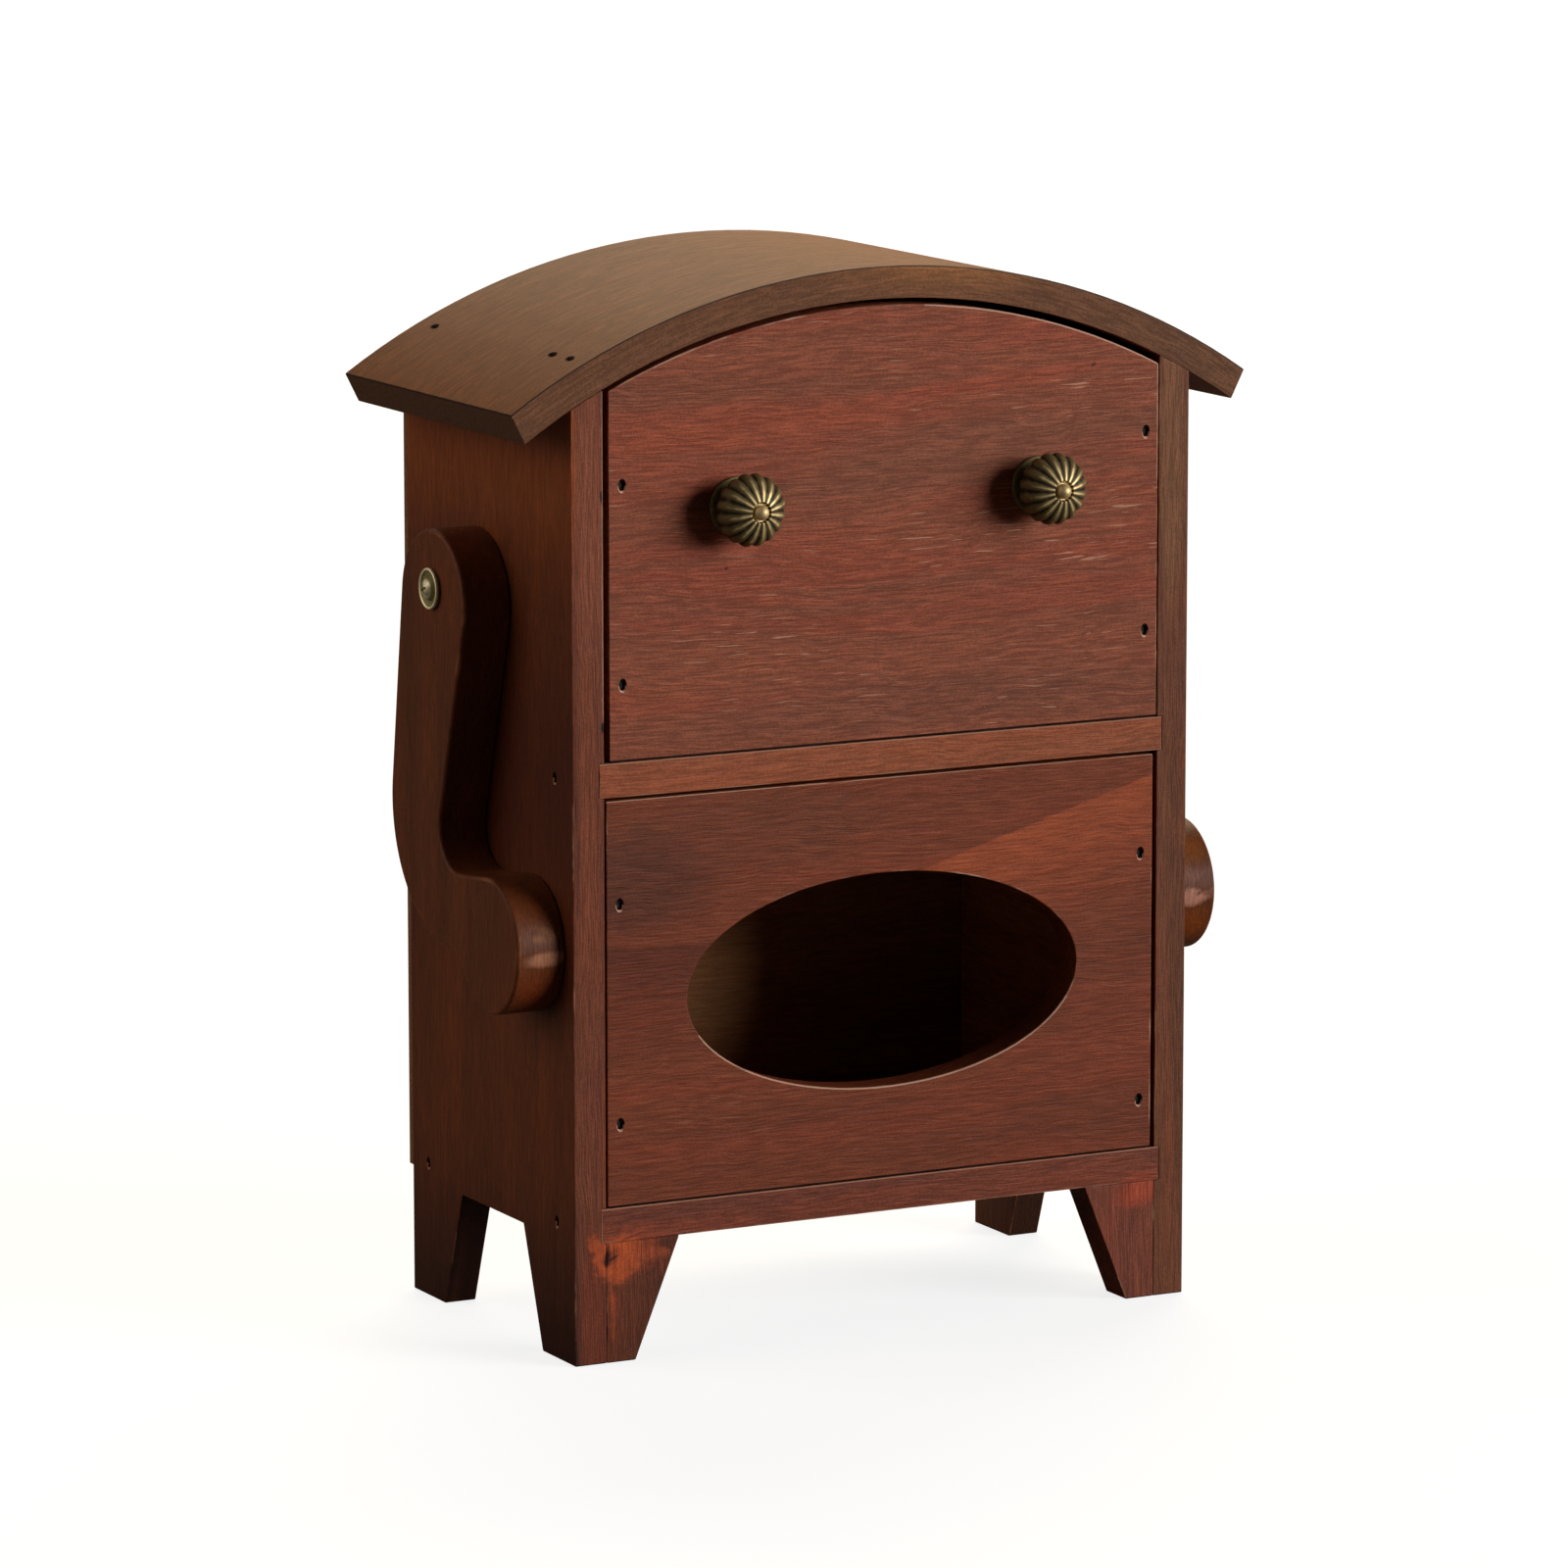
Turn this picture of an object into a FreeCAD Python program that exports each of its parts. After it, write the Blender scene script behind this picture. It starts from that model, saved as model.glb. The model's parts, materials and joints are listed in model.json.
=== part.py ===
import FreeCAD, Part

import math
import os

# A wooden tissue cabinet: a carcass under a bent roof, an arched drawer with two fluted
# knobs, a tissue drawer with an oval hole in its front, and two arms that swing on screws.
# Millimetres, +Z up, drawers open towards -Y. Pieces are modelled with the cabinet's front
# edges at Y = 0 and the floor at Z = 0, and moved together when they are written, so that
# the origin lies on the floor under the middle of the whole object.

Vec = FreeCAD.Vector
RIGHTWARD, REARWARD, UP = Vec(1, 0, 0), Vec(0, 1, 0), Vec(0, 0, 1)

# Carcass
CABINET_WIDTH = 240.0           # over the outer faces of the sides
CABINET_DEPTH = 132.0           # front edge to back edge of a side
SIDE_HEIGHT = 330.0             # floor to the outer top edge of a side
BOARD = 12.0                    # sides, shelves and drawer fronts
LEG_HEIGHT = 42.2               # floor to the underside of the bottom board
LOWER_BAY_HEIGHT = 142.5        # bottom board to divider
HOUSING_DEPTH = 2.0             # how far the shelf ends are let into the sides
BACK_PLY = 3.0                  # back panel, laid on the back edges
BACK_LIP = 2.8                  # bottom board's underside to the back panel's lower edge

# Legs, cut from the sides, and the two brackets beside the front ones
LEG_FLOOR_DEPTH = 26.0
LEG_TOP_DEPTH = 41.0
BRACKET_THICKNESS = 14.0
BRACKET_FLOOR_WIDTH = 11.1
BRACKET_TOP_WIDTH = 28.0

# Roof, a board bent to an arc
ROOF_RADIUS = 244.0             # underside
ROOF_THICKNESS = 11.3
ROOF_OVERHANG = 22.3            # side's outer face to the roof's upper end edge
ROOF_END_ANGLE = 27.0           # end cut, degrees off vertical

# Drawers
DRAWER_LIFT = 0.3               # running gap under a drawer
DRAWER_BACK_GAP = 0.3           # closed drawer to the back panel, which stops it
DRAWER_WALL = 10.0              # sides and backs
DRAWER_PLY = 3.0                # bottoms
GROOVE_DEPTH = 4.0              # how far a bottom runs into the front and sides
GROOVE_RISE = 6.0               # drawer's lower edge to the groove
UPPER_LEFT_GAP = 2.1
UPPER_RIGHT_GAP = 0.3
UPPER_WALL_HEIGHT = 112.0
ARCH_GAP = 2.0                  # arched front to the roof's underside
ARCH_SHIFT = -1.5               # the hand-cut arch is a little off centre
TISSUE_LEFT_GAP = 0.6
TISSUE_RIGHT_GAP = 1.4
TISSUE_TOP_GAP = 1.1
TISSUE_WALL_HEIGHT = 120.0
OVAL_WIDTH = 152.6
OVAL_HEIGHT = 75.4
OVAL_RISE = 70.0                # drawer front's lower edge to the oval's centre

# Knobs and their screws
KNOB_SPACING = 117.1
KNOB_RISE = 84.7                # drawer front's lower edge to the knob axis
KNOB_DIAMETER = 25.0
KNOB_PROJECTION = 21.5
KNOB_FLANGE_DIAMETER = 21.0
KNOB_FLANGE_THICKNESS = 1.6
KNOB_NECK_DIAMETER = 12.0
KNOB_BEAD_DIAMETER = 5.4
KNOB_WIDEST_HEIGHT = 10.4       # drawer's face to the head's widest ring
HEAD_FRONT_HEIGHT = 9.2         # widest ring to where the dome would close
HEAD_BACK_HEIGHT = 5.6
HEAD_FRONT_ANGLE = 72.0         # how far the dome runs towards the bead, degrees
HEAD_BACK_ANGLE = 58.0
HEAD_RINGS = 7
KNOB_FLUTES = 16
FLUTE_DEPTH = 0.13              # share of the head's radius
RIB_FACETS = 4                  # flats across a rib
RIB_FULLNESS = 0.6              # below 1 the ribs are fuller than a sine wave
BEAD_RECESS = 0.8               # clear ring round the bead
BEAD_SINK = 1.6                 # the bead's underside to the recess floor
BEAD_WRAP = 20.0                # how far the bead's ball runs past its widest ring, degrees
BEAD_RINGS = 5
KNOB_SCREW_DIAMETER = 4.0
KNOB_SCREW_BITE = 8.0           # how far the screw runs into the knob
KNOB_SCREW_HEAD_DIAMETER = 8.0
KNOB_SCREW_HEAD_HEIGHT = 2.6

# Arms: a belt round five discs, given from the screw's axis as (forward or back, up or down)
ARM_THICKNESS = 18.0
ARM_GAP = 0.3                   # side of the cabinet to the arm
ARM_EDGE_EASE = 1.8             # flat worked along every edge
ARM_CORNER_EASE = 0.75          # flats that round the outer one's two corners
PIVOT_DEPTH = 72.5              # front edges to the arm's screw
PIVOT_HEIGHT = 261.5
SHOULDER_CENTRE = (0.3, -5.0)
SHOULDER_RADIUS = 25.5
CROOK_CENTRE = (-18.5, -82.5)
CROOK_RADIUS = 14.3
FIST_CENTRE = (-43.0, -118.0)
FIST_RADIUS = 23.7
ELBOW_CENTRE = (-11.0, -77.5)
ELBOW_RADIUS = 46.4
WRIST_RADIUS = 13.4
RIGHT_ARM_DROP = 2.0            # degrees that the right arm hangs lower than the left

# Arm screws and their cup washers
ARM_SCREW_DIAMETER = 4.2
ARM_SCREW_BITE = 10.5           # how far the screw runs into the side
ARM_BORE_CLEARANCE = 0.08       # radial, arm and washer on the screw
SCREW_HEAD_DIAMETER = 8.6
SCREW_HEAD_HEIGHT = 2.7
SCREW_HEAD_RINGS = 4            # flats from the head's rim to its crown, and one
WASHER_DIAMETER = 14.4
WASHER_FLOOR = 0.8
WASHER_LIP_HEIGHT = 1.7
WASHER_LIP_THICKNESS = 1.1
WASHER_GAP = 0.1                # arm to the washer

# Brads of flattened wire, set below the surface with the wide way along the grain
BRAD_THIN = 1.8
BRAD_WIDE = 3.0
BRAD_LENGTH = 25.0
BRAD_SET = 1.5                  # surface to the head
HOLE_CLEARANCE = 0.05           # round every brad and screw in its hole

# Brad places: rises from a drawer front's lower edge, and depths from the carcass's front
# edges or, for the rear brads, from its back edges
UPPER_BRAD_RISES = {"left": (26.1, 94.3), "right": (30.7, 100.8)}
TISSUE_BRAD_RISES = {"left": (28.7, 105.1), "right": (17.3, 105.9)}
SHELF_FRONT_BRAD_DEPTHS = (14.0,)
SHELF_REAR_BRAD_DEPTHS = (13.0,)
ROOF_FRONT_BRAD_DEPTHS = (12.4, 25.9)
ROOF_REAR_BRAD_DEPTHS = (11.3,)
BACK_BRAD_LENGTH = 12.0
BACK_BRAD_SET = 0.3
BACK_BRADS_PER_SIDE = 3
BACK_BRADS_PER_SHELF = 2
BACK_BRAD_MARGIN = 30.0         # the panel's corners to the first brad

# Derived places
HALF_WIDTH = CABINET_WIDTH / 2
HALF_BAY = HALF_WIDTH - BOARD
BAY_FLOOR = LEG_HEIGHT + BOARD
DIVIDER_FLOOR = BAY_FLOOR + LOWER_BAY_HEIGHT
UPPER_BAY_FLOOR = DIVIDER_FLOOR + BOARD
BACK_FACE = CABINET_DEPTH + BACK_PLY
ROOF_CENTRE = SIDE_HEIGHT - math.sqrt(ROOF_RADIUS ** 2 - HALF_WIDTH ** 2)
ROOF_CROWN = ROOF_RADIUS + ROOF_THICKNESS
SPREAD = 2 * CABINET_WIDTH      # longer than anything it has to cut
TOUCH = 0.001                   # points this close are one
ORIGIN_SHIFT = Vec(0, (KNOB_PROJECTION - BACK_FACE) / 2, 0)


def block(x_range, y_range, z_range):
    """A board between two values along each axis."""
    (x0, x1), (y0, y1), (z0, z1) = x_range, y_range, z_range
    return Part.makeBox(x1 - x0, y1 - y0, z1 - z0, Vec(x0, y0, z0))


def rod(start, direction, length, radius):
    """A round bar from a point along a direction."""
    return Part.makeCylinder(radius, length, start, direction)


def face_of(edges):
    """The flat face inside a closed run of edges."""
    return Part.Face(Part.Wire(Part.__sortEdges__(edges)))


def chain(points):
    """Straight edges through points, closed."""
    closed = points + points[:1]
    return [Part.makeLine(a, b) for a, b in zip(closed, closed[1:])]


def arc_edge(start, middle, end):
    """A round edge through three points."""
    return Part.Arc(start, middle, end).toShape()


def mirrored(shape):
    """The same piece for the other side of the cabinet."""
    return shape.mirror(Vec(0, 0, 0), RIGHTWARD)


def arch_height(x, radius, centre_x=0.0):
    """Height of an arc about the roof's centre line at a given x."""
    return ROOF_CENTRE + math.sqrt(radius ** 2 - (x - centre_x) ** 2)


def arched_panel(x0, x1, z0, radius, y0, y1, centre_x=0.0):
    """A panel with straight sides and foot under an arched top edge."""
    middle = (x0 + x1) / 2
    left = Vec(x0, y0, arch_height(x0, radius, centre_x))
    right = Vec(x1, y0, arch_height(x1, radius, centre_x))
    crown = Vec(middle, y0, arch_height(middle, radius, centre_x))
    edges = [
        Part.makeLine(Vec(x0, y0, z0), Vec(x1, y0, z0)),
        Part.makeLine(Vec(x1, y0, z0), right),
        arc_edge(right, crown, left),
        Part.makeLine(left, Vec(x0, y0, z0)),
    ]
    return face_of(edges).extrude(Vec(0, y1 - y0, 0))


# ---- brads ----

def flat_bar(place, inward, wide, near, far, ease):
    """A bar of a brad's section, from one depth below the surface at a place to another."""
    thin = inward.cross(wide) * (BRAD_THIN / 2 + ease)
    wide = wide * (BRAD_WIDE / 2 + ease)
    start = place + inward * near
    corners = [start - thin - wide, start + thin - wide, start + thin + wide, start - thin + wide]
    return face_of(chain(corners)).extrude(inward * (far - near))


def brad(place, inward, wide, length=BRAD_LENGTH, set_depth=BRAD_SET):
    """A brad with its head set below the surface at a place."""
    return flat_bar(place, inward, wide, set_depth, set_depth + length, 0)


def brad_hole(place, inward, wide, length=BRAD_LENGTH, set_depth=BRAD_SET):
    """The hole that a brad leaves, open at the surface."""
    return flat_bar(place, inward, wide, -BRAD_SET, set_depth + length + HOLE_CLEARANCE,
                    HOLE_CLEARANCE)


def depths_along_side(front_depths, rear_depths):
    """Places along a side's depth, some from its front edge and the others from its back edge."""
    return list(front_depths) + [CABINET_DEPTH - depth for depth in rear_depths]


def shelf_brads(maker):
    """Brads through both sides into the ends of the two shelves."""
    shapes = []
    for shelf_floor in (LEG_HEIGHT, DIVIDER_FLOOR):
        for depth in depths_along_side(SHELF_FRONT_BRAD_DEPTHS, SHELF_REAR_BRAD_DEPTHS):
            height = shelf_floor + BOARD / 2
            shapes.append(maker(Vec(-HALF_WIDTH, depth, height), RIGHTWARD, UP))
            shapes.append(maker(Vec(HALF_WIDTH, depth, height), -RIGHTWARD, UP))
    return Part.makeCompound(shapes)


def roof_brads(maker):
    """Brads through the roof into the top edges of both sides."""
    shapes = []
    for x in (-HALF_WIDTH + BOARD / 2, HALF_WIDTH - BOARD / 2):
        for depth in depths_along_side(ROOF_FRONT_BRAD_DEPTHS, ROOF_REAR_BRAD_DEPTHS):
            shapes.append(maker(Vec(x, depth, arch_height(x, ROOF_CROWN)), -UP, REARWARD))
    return Part.makeCompound(shapes)


def spread_evenly(first, last, count):
    """Evenly spaced values from the first to the last."""
    return [first + (last - first) * step / (count - 1) for step in range(count)]


def back_brads(maker):
    """Short brads that hold the back panel to the sides and shelves."""
    low = LEG_HEIGHT + BACK_LIP + BACK_BRAD_MARGIN
    high = SIDE_HEIGHT - BACK_BRAD_MARGIN
    reach = HALF_BAY - BACK_BRAD_MARGIN
    places = []
    for x in (-HALF_WIDTH + BOARD / 2, HALF_WIDTH - BOARD / 2):
        places += [(x, height) for height in spread_evenly(low, high, BACK_BRADS_PER_SIDE)]
    for shelf_floor in (LEG_HEIGHT, DIVIDER_FLOOR):
        height = shelf_floor + BOARD / 2
        places += [(x, height) for x in spread_evenly(-reach, reach, BACK_BRADS_PER_SHELF)]
    return Part.makeCompound([
        maker(Vec(x, BACK_FACE, height), -REARWARD, UP, BACK_BRAD_LENGTH, BACK_BRAD_SET)
        for x, height in places
    ])


# ---- carcass ----

def leg_gap():
    """The cut-out that leaves a front and a rear leg on a side."""
    floor_y = (LEG_FLOOR_DEPTH, CABINET_DEPTH - LEG_FLOOR_DEPTH)
    top_y = (LEG_TOP_DEPTH, CABINET_DEPTH - LEG_TOP_DEPTH)
    corners = [
        Vec(-SPREAD / 2, floor_y[0], 0),
        Vec(-SPREAD / 2, floor_y[1], 0),
        Vec(-SPREAD / 2, top_y[1], LEG_HEIGHT),
        Vec(-SPREAD / 2, top_y[0], LEG_HEIGHT),
    ]
    return face_of(chain(corners)).extrude(Vec(SPREAD, 0, 0))


def shelf_space(floor):
    """The room that a shelf takes, ends let into the sides."""
    reach = HALF_BAY + HOUSING_DEPTH
    return block((-reach, reach), (0, CABINET_DEPTH), (floor, floor + BOARD))


def left_side():
    """A side with its legs, shelf housings and screw hole, its top edge under the roof."""
    board = arched_panel(-HALF_WIDTH, -HALF_BAY, 0, ROOF_RADIUS, 0, CABINET_DEPTH)
    board = board.cut(leg_gap())
    for floor in (LEG_HEIGHT, DIVIDER_FLOOR):
        board = board.cut(shelf_space(floor))
    for holes in (shelf_brads(brad_hole), roof_brads(brad_hole), back_brads(brad_hole)):
        board = board.cut(holes)
    screw_hole = rod(pivot_point(), RIGHTWARD, ARM_SCREW_BITE + HOLE_CLEARANCE,
                     ARM_SCREW_DIAMETER / 2 + HOLE_CLEARANCE)
    return board.cut(screw_hole)


def shelf(floor):
    """The bottom board or the divider between the drawers."""
    board = shelf_space(floor)
    return board.cut(shelf_brads(brad_hole)).cut(back_brads(brad_hole))


def back_panel():
    """Thin panel over the back edges, from the bottom board up to the roof."""
    panel = arched_panel(-HALF_WIDTH, HALF_WIDTH, LEG_HEIGHT + BACK_LIP, ROOF_RADIUS,
                         CABINET_DEPTH, BACK_FACE)
    return panel.cut(back_brads(brad_hole))


def roof():
    """The bent roof board, overhanging both sides and covering the back panel's edge."""
    top_x = HALF_WIDTH + ROOF_OVERHANG
    top_z = arch_height(top_x, ROOF_CROWN)
    slope = math.tan(math.radians(ROOF_END_ANGLE))
    # The end cut meets the underside where x = top_x - slope * drop lies on the inner arc.
    a = 1 + slope ** 2
    b = -2 * (slope * top_x + (top_z - ROOF_CENTRE))
    c = top_x ** 2 + (top_z - ROOF_CENTRE) ** 2 - ROOF_RADIUS ** 2
    drop = (-b - math.sqrt(b ** 2 - 4 * a * c)) / (2 * a)
    low_x, low_z = top_x - slope * drop, top_z - drop
    edges = [
        arc_edge(Vec(top_x, 0, top_z), Vec(0, 0, ROOF_CENTRE + ROOF_CROWN), Vec(-top_x, 0, top_z)),
        Part.makeLine(Vec(-top_x, 0, top_z), Vec(-low_x, 0, low_z)),
        arc_edge(Vec(-low_x, 0, low_z), Vec(0, 0, ROOF_CENTRE + ROOF_RADIUS), Vec(low_x, 0, low_z)),
        Part.makeLine(Vec(low_x, 0, low_z), Vec(top_x, 0, top_z)),
    ]
    board = face_of(edges).extrude(Vec(0, BACK_FACE, 0))
    return board.cut(roof_brads(brad_hole))


def left_bracket():
    """A tapered block beside a front leg, under the bottom board."""
    outline = [
        Vec(-HALF_BAY, 0, 0),
        Vec(-HALF_BAY + BRACKET_FLOOR_WIDTH, 0, 0),
        Vec(-HALF_BAY + BRACKET_TOP_WIDTH, 0, LEG_HEIGHT),
        Vec(-HALF_BAY, 0, LEG_HEIGHT),
    ]
    return face_of(chain(outline)).extrude(Vec(0, BRACKET_THICKNESS, 0))


# ---- drawers ----

class Drawer:
    """Places shared by the pieces of one drawer."""

    def __init__(self, bay_floor, left_gap, right_gap, wall_height, brad_rises):
        self.left = -HALF_BAY + left_gap
        self.right = HALF_BAY - right_gap
        self.centre = (self.left + self.right) / 2
        self.floor = bay_floor + DRAWER_LIFT
        self.wall_top = self.floor + wall_height
        self.rear = CABINET_DEPTH - DRAWER_BACK_GAP
        self.brad_rises = brad_rises

    def ply_space(self):
        """The room that the bottom takes, edges in their grooves."""
        reach = DRAWER_WALL - GROOVE_DEPTH
        low = self.floor + GROOVE_RISE
        return block((self.left + reach, self.right - reach),
                     (BOARD - GROOVE_DEPTH, self.rear), (low, low + DRAWER_PLY))

    def brads(self, maker):
        """Brads through the front into the ends of the sides."""
        shapes = []
        for x, side in ((self.left + DRAWER_WALL / 2, "left"), (self.right - DRAWER_WALL / 2, "right")):
            for rise in self.brad_rises[side]:
                shapes.append(maker(Vec(x, 0, self.floor + rise), REARWARD, UP))
        return Part.makeCompound(shapes)

    def side(self, x0):
        """A side, grooved for the bottom."""
        board = block((x0, x0 + DRAWER_WALL), (BOARD, self.rear), (self.floor, self.wall_top))
        return board.cut(self.ply_space()).cut(self.brads(brad_hole))

    def back(self):
        """The back, between the sides and on top of the bottom."""
        return block((self.left + DRAWER_WALL, self.right - DRAWER_WALL),
                     (self.rear - DRAWER_WALL, self.rear),
                     (self.floor + GROOVE_RISE + DRAWER_PLY, self.wall_top))


UPPER = Drawer(UPPER_BAY_FLOOR, UPPER_LEFT_GAP, UPPER_RIGHT_GAP, UPPER_WALL_HEIGHT,
               UPPER_BRAD_RISES)
TISSUE = Drawer(BAY_FLOOR, TISSUE_LEFT_GAP, TISSUE_RIGHT_GAP, TISSUE_WALL_HEIGHT,
                TISSUE_BRAD_RISES)


def knob_places():
    """Points on the drawer's face where the two knobs sit."""
    height = UPPER.floor + KNOB_RISE
    return [Vec(UPPER.centre + side * KNOB_SPACING / 2, 0, height) for side in (-1, 1)]


def upper_front():
    """The arched front, bored for the knob screws."""
    front = arched_panel(UPPER.left, UPPER.right, UPPER.floor, ROOF_RADIUS - ARCH_GAP,
                         0, BOARD, ARCH_SHIFT)
    front = front.cut(UPPER.ply_space()).cut(UPPER.brads(brad_hole))
    for place in knob_places():
        bore = rod(place, REARWARD, BOARD, KNOB_SCREW_DIAMETER / 2 + HOLE_CLEARANCE)
        front = front.cut(bore)
    return front


def tissue_front():
    """The tissue drawer's front with its oval hole."""
    top = DIVIDER_FLOOR - TISSUE_TOP_GAP
    front = block((TISSUE.left, TISSUE.right), (0, BOARD), (TISSUE.floor, top))
    centre = Vec(TISSUE.centre, 0, TISSUE.floor + OVAL_RISE)
    oval = Part.Ellipse(centre + Vec(OVAL_WIDTH / 2, 0, 0), centre + Vec(0, 0, OVAL_HEIGHT / 2), centre)
    hole = Part.Face(Part.Wire(oval.toShape())).extrude(Vec(0, BOARD, 0))
    return front.cut(hole).cut(TISSUE.ply_space()).cut(TISSUE.brads(brad_hole))


# ---- knobs ----

def turned(profile):
    """A solid turned about +Z from (radius, height) points that start and end on the axis."""
    points = [Vec(radius, 0, height) for radius, height in profile]
    return face_of(chain(points)).revolve(Vec(0, 0, 0), UP, 360)


def lobed_ring(radius, height):
    """The corners of rounded ribs round the knob's axis, with a flute between each two."""
    corners = []
    for step in range(KNOB_FLUTES * RIB_FACETS):
        swell = abs(math.sin(math.pi * step / RIB_FACETS)) ** RIB_FULLNESS
        distance = radius * (1 - FLUTE_DEPTH * (1 - swell))
        angle = 2 * math.pi * step / (KNOB_FLUTES * RIB_FACETS)
        corners.append(Vec(distance * math.cos(angle), distance * math.sin(angle), height))
    return corners


def knob_head():
    """The fluted dome, from the neck round the widest ring to the recess under the bead."""
    rings = []
    for angle in spread_evenly(-HEAD_BACK_ANGLE, HEAD_FRONT_ANGLE, HEAD_RINGS):
        swing = math.radians(angle)
        half_height = HEAD_FRONT_HEIGHT if angle > 0 else HEAD_BACK_HEIGHT
        rings.append(lobed_ring(KNOB_DIAMETER / 2 * math.cos(swing),
                                KNOB_WIDEST_HEIGHT + half_height * math.sin(swing)))
    outlines = [rings[0], rings[-1]]
    for low, high in zip(rings, rings[1:]):
        for here in range(len(low)):
            outlines.append([low[here - 1], low[here], high[here], high[here - 1]])
    faces = [face_of(chain(outline)) for outline in outlines]
    return Part.Solid(Part.Shell(faces))


def knob():
    """A turned knob with a fluted head and a bead, standing on the XY plane along +Z."""
    flange, neck, bead = KNOB_FLANGE_DIAMETER / 2, KNOB_NECK_DIAMETER / 2, KNOB_BEAD_DIAMETER / 2
    neck_top = KNOB_WIDEST_HEIGHT - HEAD_BACK_HEIGHT * math.sin(math.radians(HEAD_BACK_ANGLE))
    foot = rod(Vec(0, 0, 0), UP, KNOB_FLANGE_THICKNESS, flange).fuse(
        rod(Vec(0, 0, 0), UP, neck_top, neck))
    recess_floor = KNOB_PROJECTION - 2 * bead + BEAD_SINK
    recess = rod(Vec(0, 0, recess_floor), UP, KNOB_PROJECTION, bead + BEAD_RECESS)
    dome = [math.radians(angle) for angle in spread_evenly(0, 90 + BEAD_WRAP, BEAD_RINGS)]
    bead_centre = KNOB_PROJECTION - bead
    bead_profile = [(bead * math.sin(a), bead_centre + bead * math.cos(a)) for a in dome]
    ball = turned(bead_profile + [(bead_profile[-1][0], recess_floor), (0, recess_floor)])
    body = foot.fuse(knob_head()).cut(recess).fuse(ball).removeSplitter()
    thread = rod(Vec(0, 0, 0), UP, KNOB_SCREW_BITE + HOLE_CLEARANCE,
                 KNOB_SCREW_DIAMETER / 2 + HOLE_CLEARANCE)
    return body.cut(thread)


def knobs():
    """Both knobs, turned to face forward at their places on the drawer."""
    shape = knob()
    shape.rotate(Vec(0, 0, 0), RIGHTWARD, 90)
    return Part.makeCompound([shape.translated(place) for place in knob_places()])


def knob_screws():
    """Cheese-headed screws from inside the drawer into the knobs."""
    shapes = []
    for place in knob_places():
        shank = rod(place - REARWARD * KNOB_SCREW_BITE, REARWARD, KNOB_SCREW_BITE + BOARD,
                    KNOB_SCREW_DIAMETER / 2)
        seat = place + REARWARD * BOARD
        shapes.append(shank.fuse(
            rod(seat, REARWARD, KNOB_SCREW_HEAD_HEIGHT, KNOB_SCREW_HEAD_DIAMETER / 2)))
    return Part.makeCompound(shapes)


# ---- arms ----

def pivot_point():
    """Where the left arm's screw enters the cabinet's side."""
    return Vec(-HALF_WIDTH, PIVOT_DEPTH, PIVOT_HEIGHT)


def wrist_centre():
    """Centre of the hollow between fist and elbow, touching both discs from below."""
    (fist_y, fist_z), (elbow_y, elbow_z) = FIST_CENTRE, ELBOW_CENTRE
    to_fist = FIST_RADIUS + WRIST_RADIUS
    to_elbow = ELBOW_RADIUS + WRIST_RADIUS
    across, up = elbow_y - fist_y, elbow_z - fist_z
    apart = math.hypot(across, up)
    along = (apart ** 2 + to_fist ** 2 - to_elbow ** 2) / (2 * apart)
    aside = math.sqrt(to_fist ** 2 - along ** 2)
    return (fist_y + (across * along + up * aside) / apart,
            fist_z + (up * along - across * aside) / apart)


def belt_edges(discs, x):
    """Arcs and tangent lines of a belt round discs, given as (centre, radius).

    The belt runs counter-clockwise seen from +X with Y to the right. It goes outside a
    disc of positive radius and inside one of negative radius.
    """
    lines = []
    for (a, radius_a), (b, radius_b) in zip(discs, discs[1:] + discs[:1]):
        apart = math.hypot(b[0] - a[0], b[1] - a[1])
        change = radius_b - radius_a
        length = math.sqrt(max(apart ** 2 - change ** 2, 0.0))
        heading = math.atan2(b[1] - a[1], b[0] - a[0]) - math.atan2(change, length)
        outward = (math.sin(heading), -math.cos(heading))
        leave = Vec(x, a[0] + radius_a * outward[0], a[1] + radius_a * outward[1])
        arrive = Vec(x, b[0] + radius_b * outward[0], b[1] + radius_b * outward[1])
        lines.append((leave, arrive))
    # Two discs that touch share one point, so their tangent line has no length.
    lines = [(a, a if a.distanceToPoint(b) < TOUCH else b) for a, b in lines]
    edges = []
    for index, (centre, radius) in enumerate(discs):
        arrive, leave = lines[index - 1][1], lines[index][0]
        start = math.atan2(arrive.z - centre[1], arrive.y - centre[0])
        end = math.atan2(leave.z - centre[1], leave.y - centre[0])
        turn = (end - start) % (2 * math.pi) if radius > 0 else -((start - end) % (2 * math.pi))
        half = start + turn / 2
        size = abs(radius)
        middle = Vec(x, centre[0] + size * math.cos(half), centre[1] + size * math.sin(half))
        edges.append(arc_edge(arrive, middle, leave))
        if leave != lines[index][1]:
            edges.append(Part.makeLine(leave, lines[index][1]))
    return edges


def crook_radius():
    """The crook's radius, as large as asked for but clear of the fist."""
    apart = math.hypot(FIST_CENTRE[0] - CROOK_CENTRE[0], FIST_CENTRE[1] - CROOK_CENTRE[1])
    return min(CROOK_RADIUS, apart - FIST_RADIUS)


def outline_edges(shape):
    """The edges that run round a sawn piece, in planes square to its thickness."""
    return [edge for edge in shape.Edges if edge.BoundBox.XLength < TOUCH]


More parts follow.
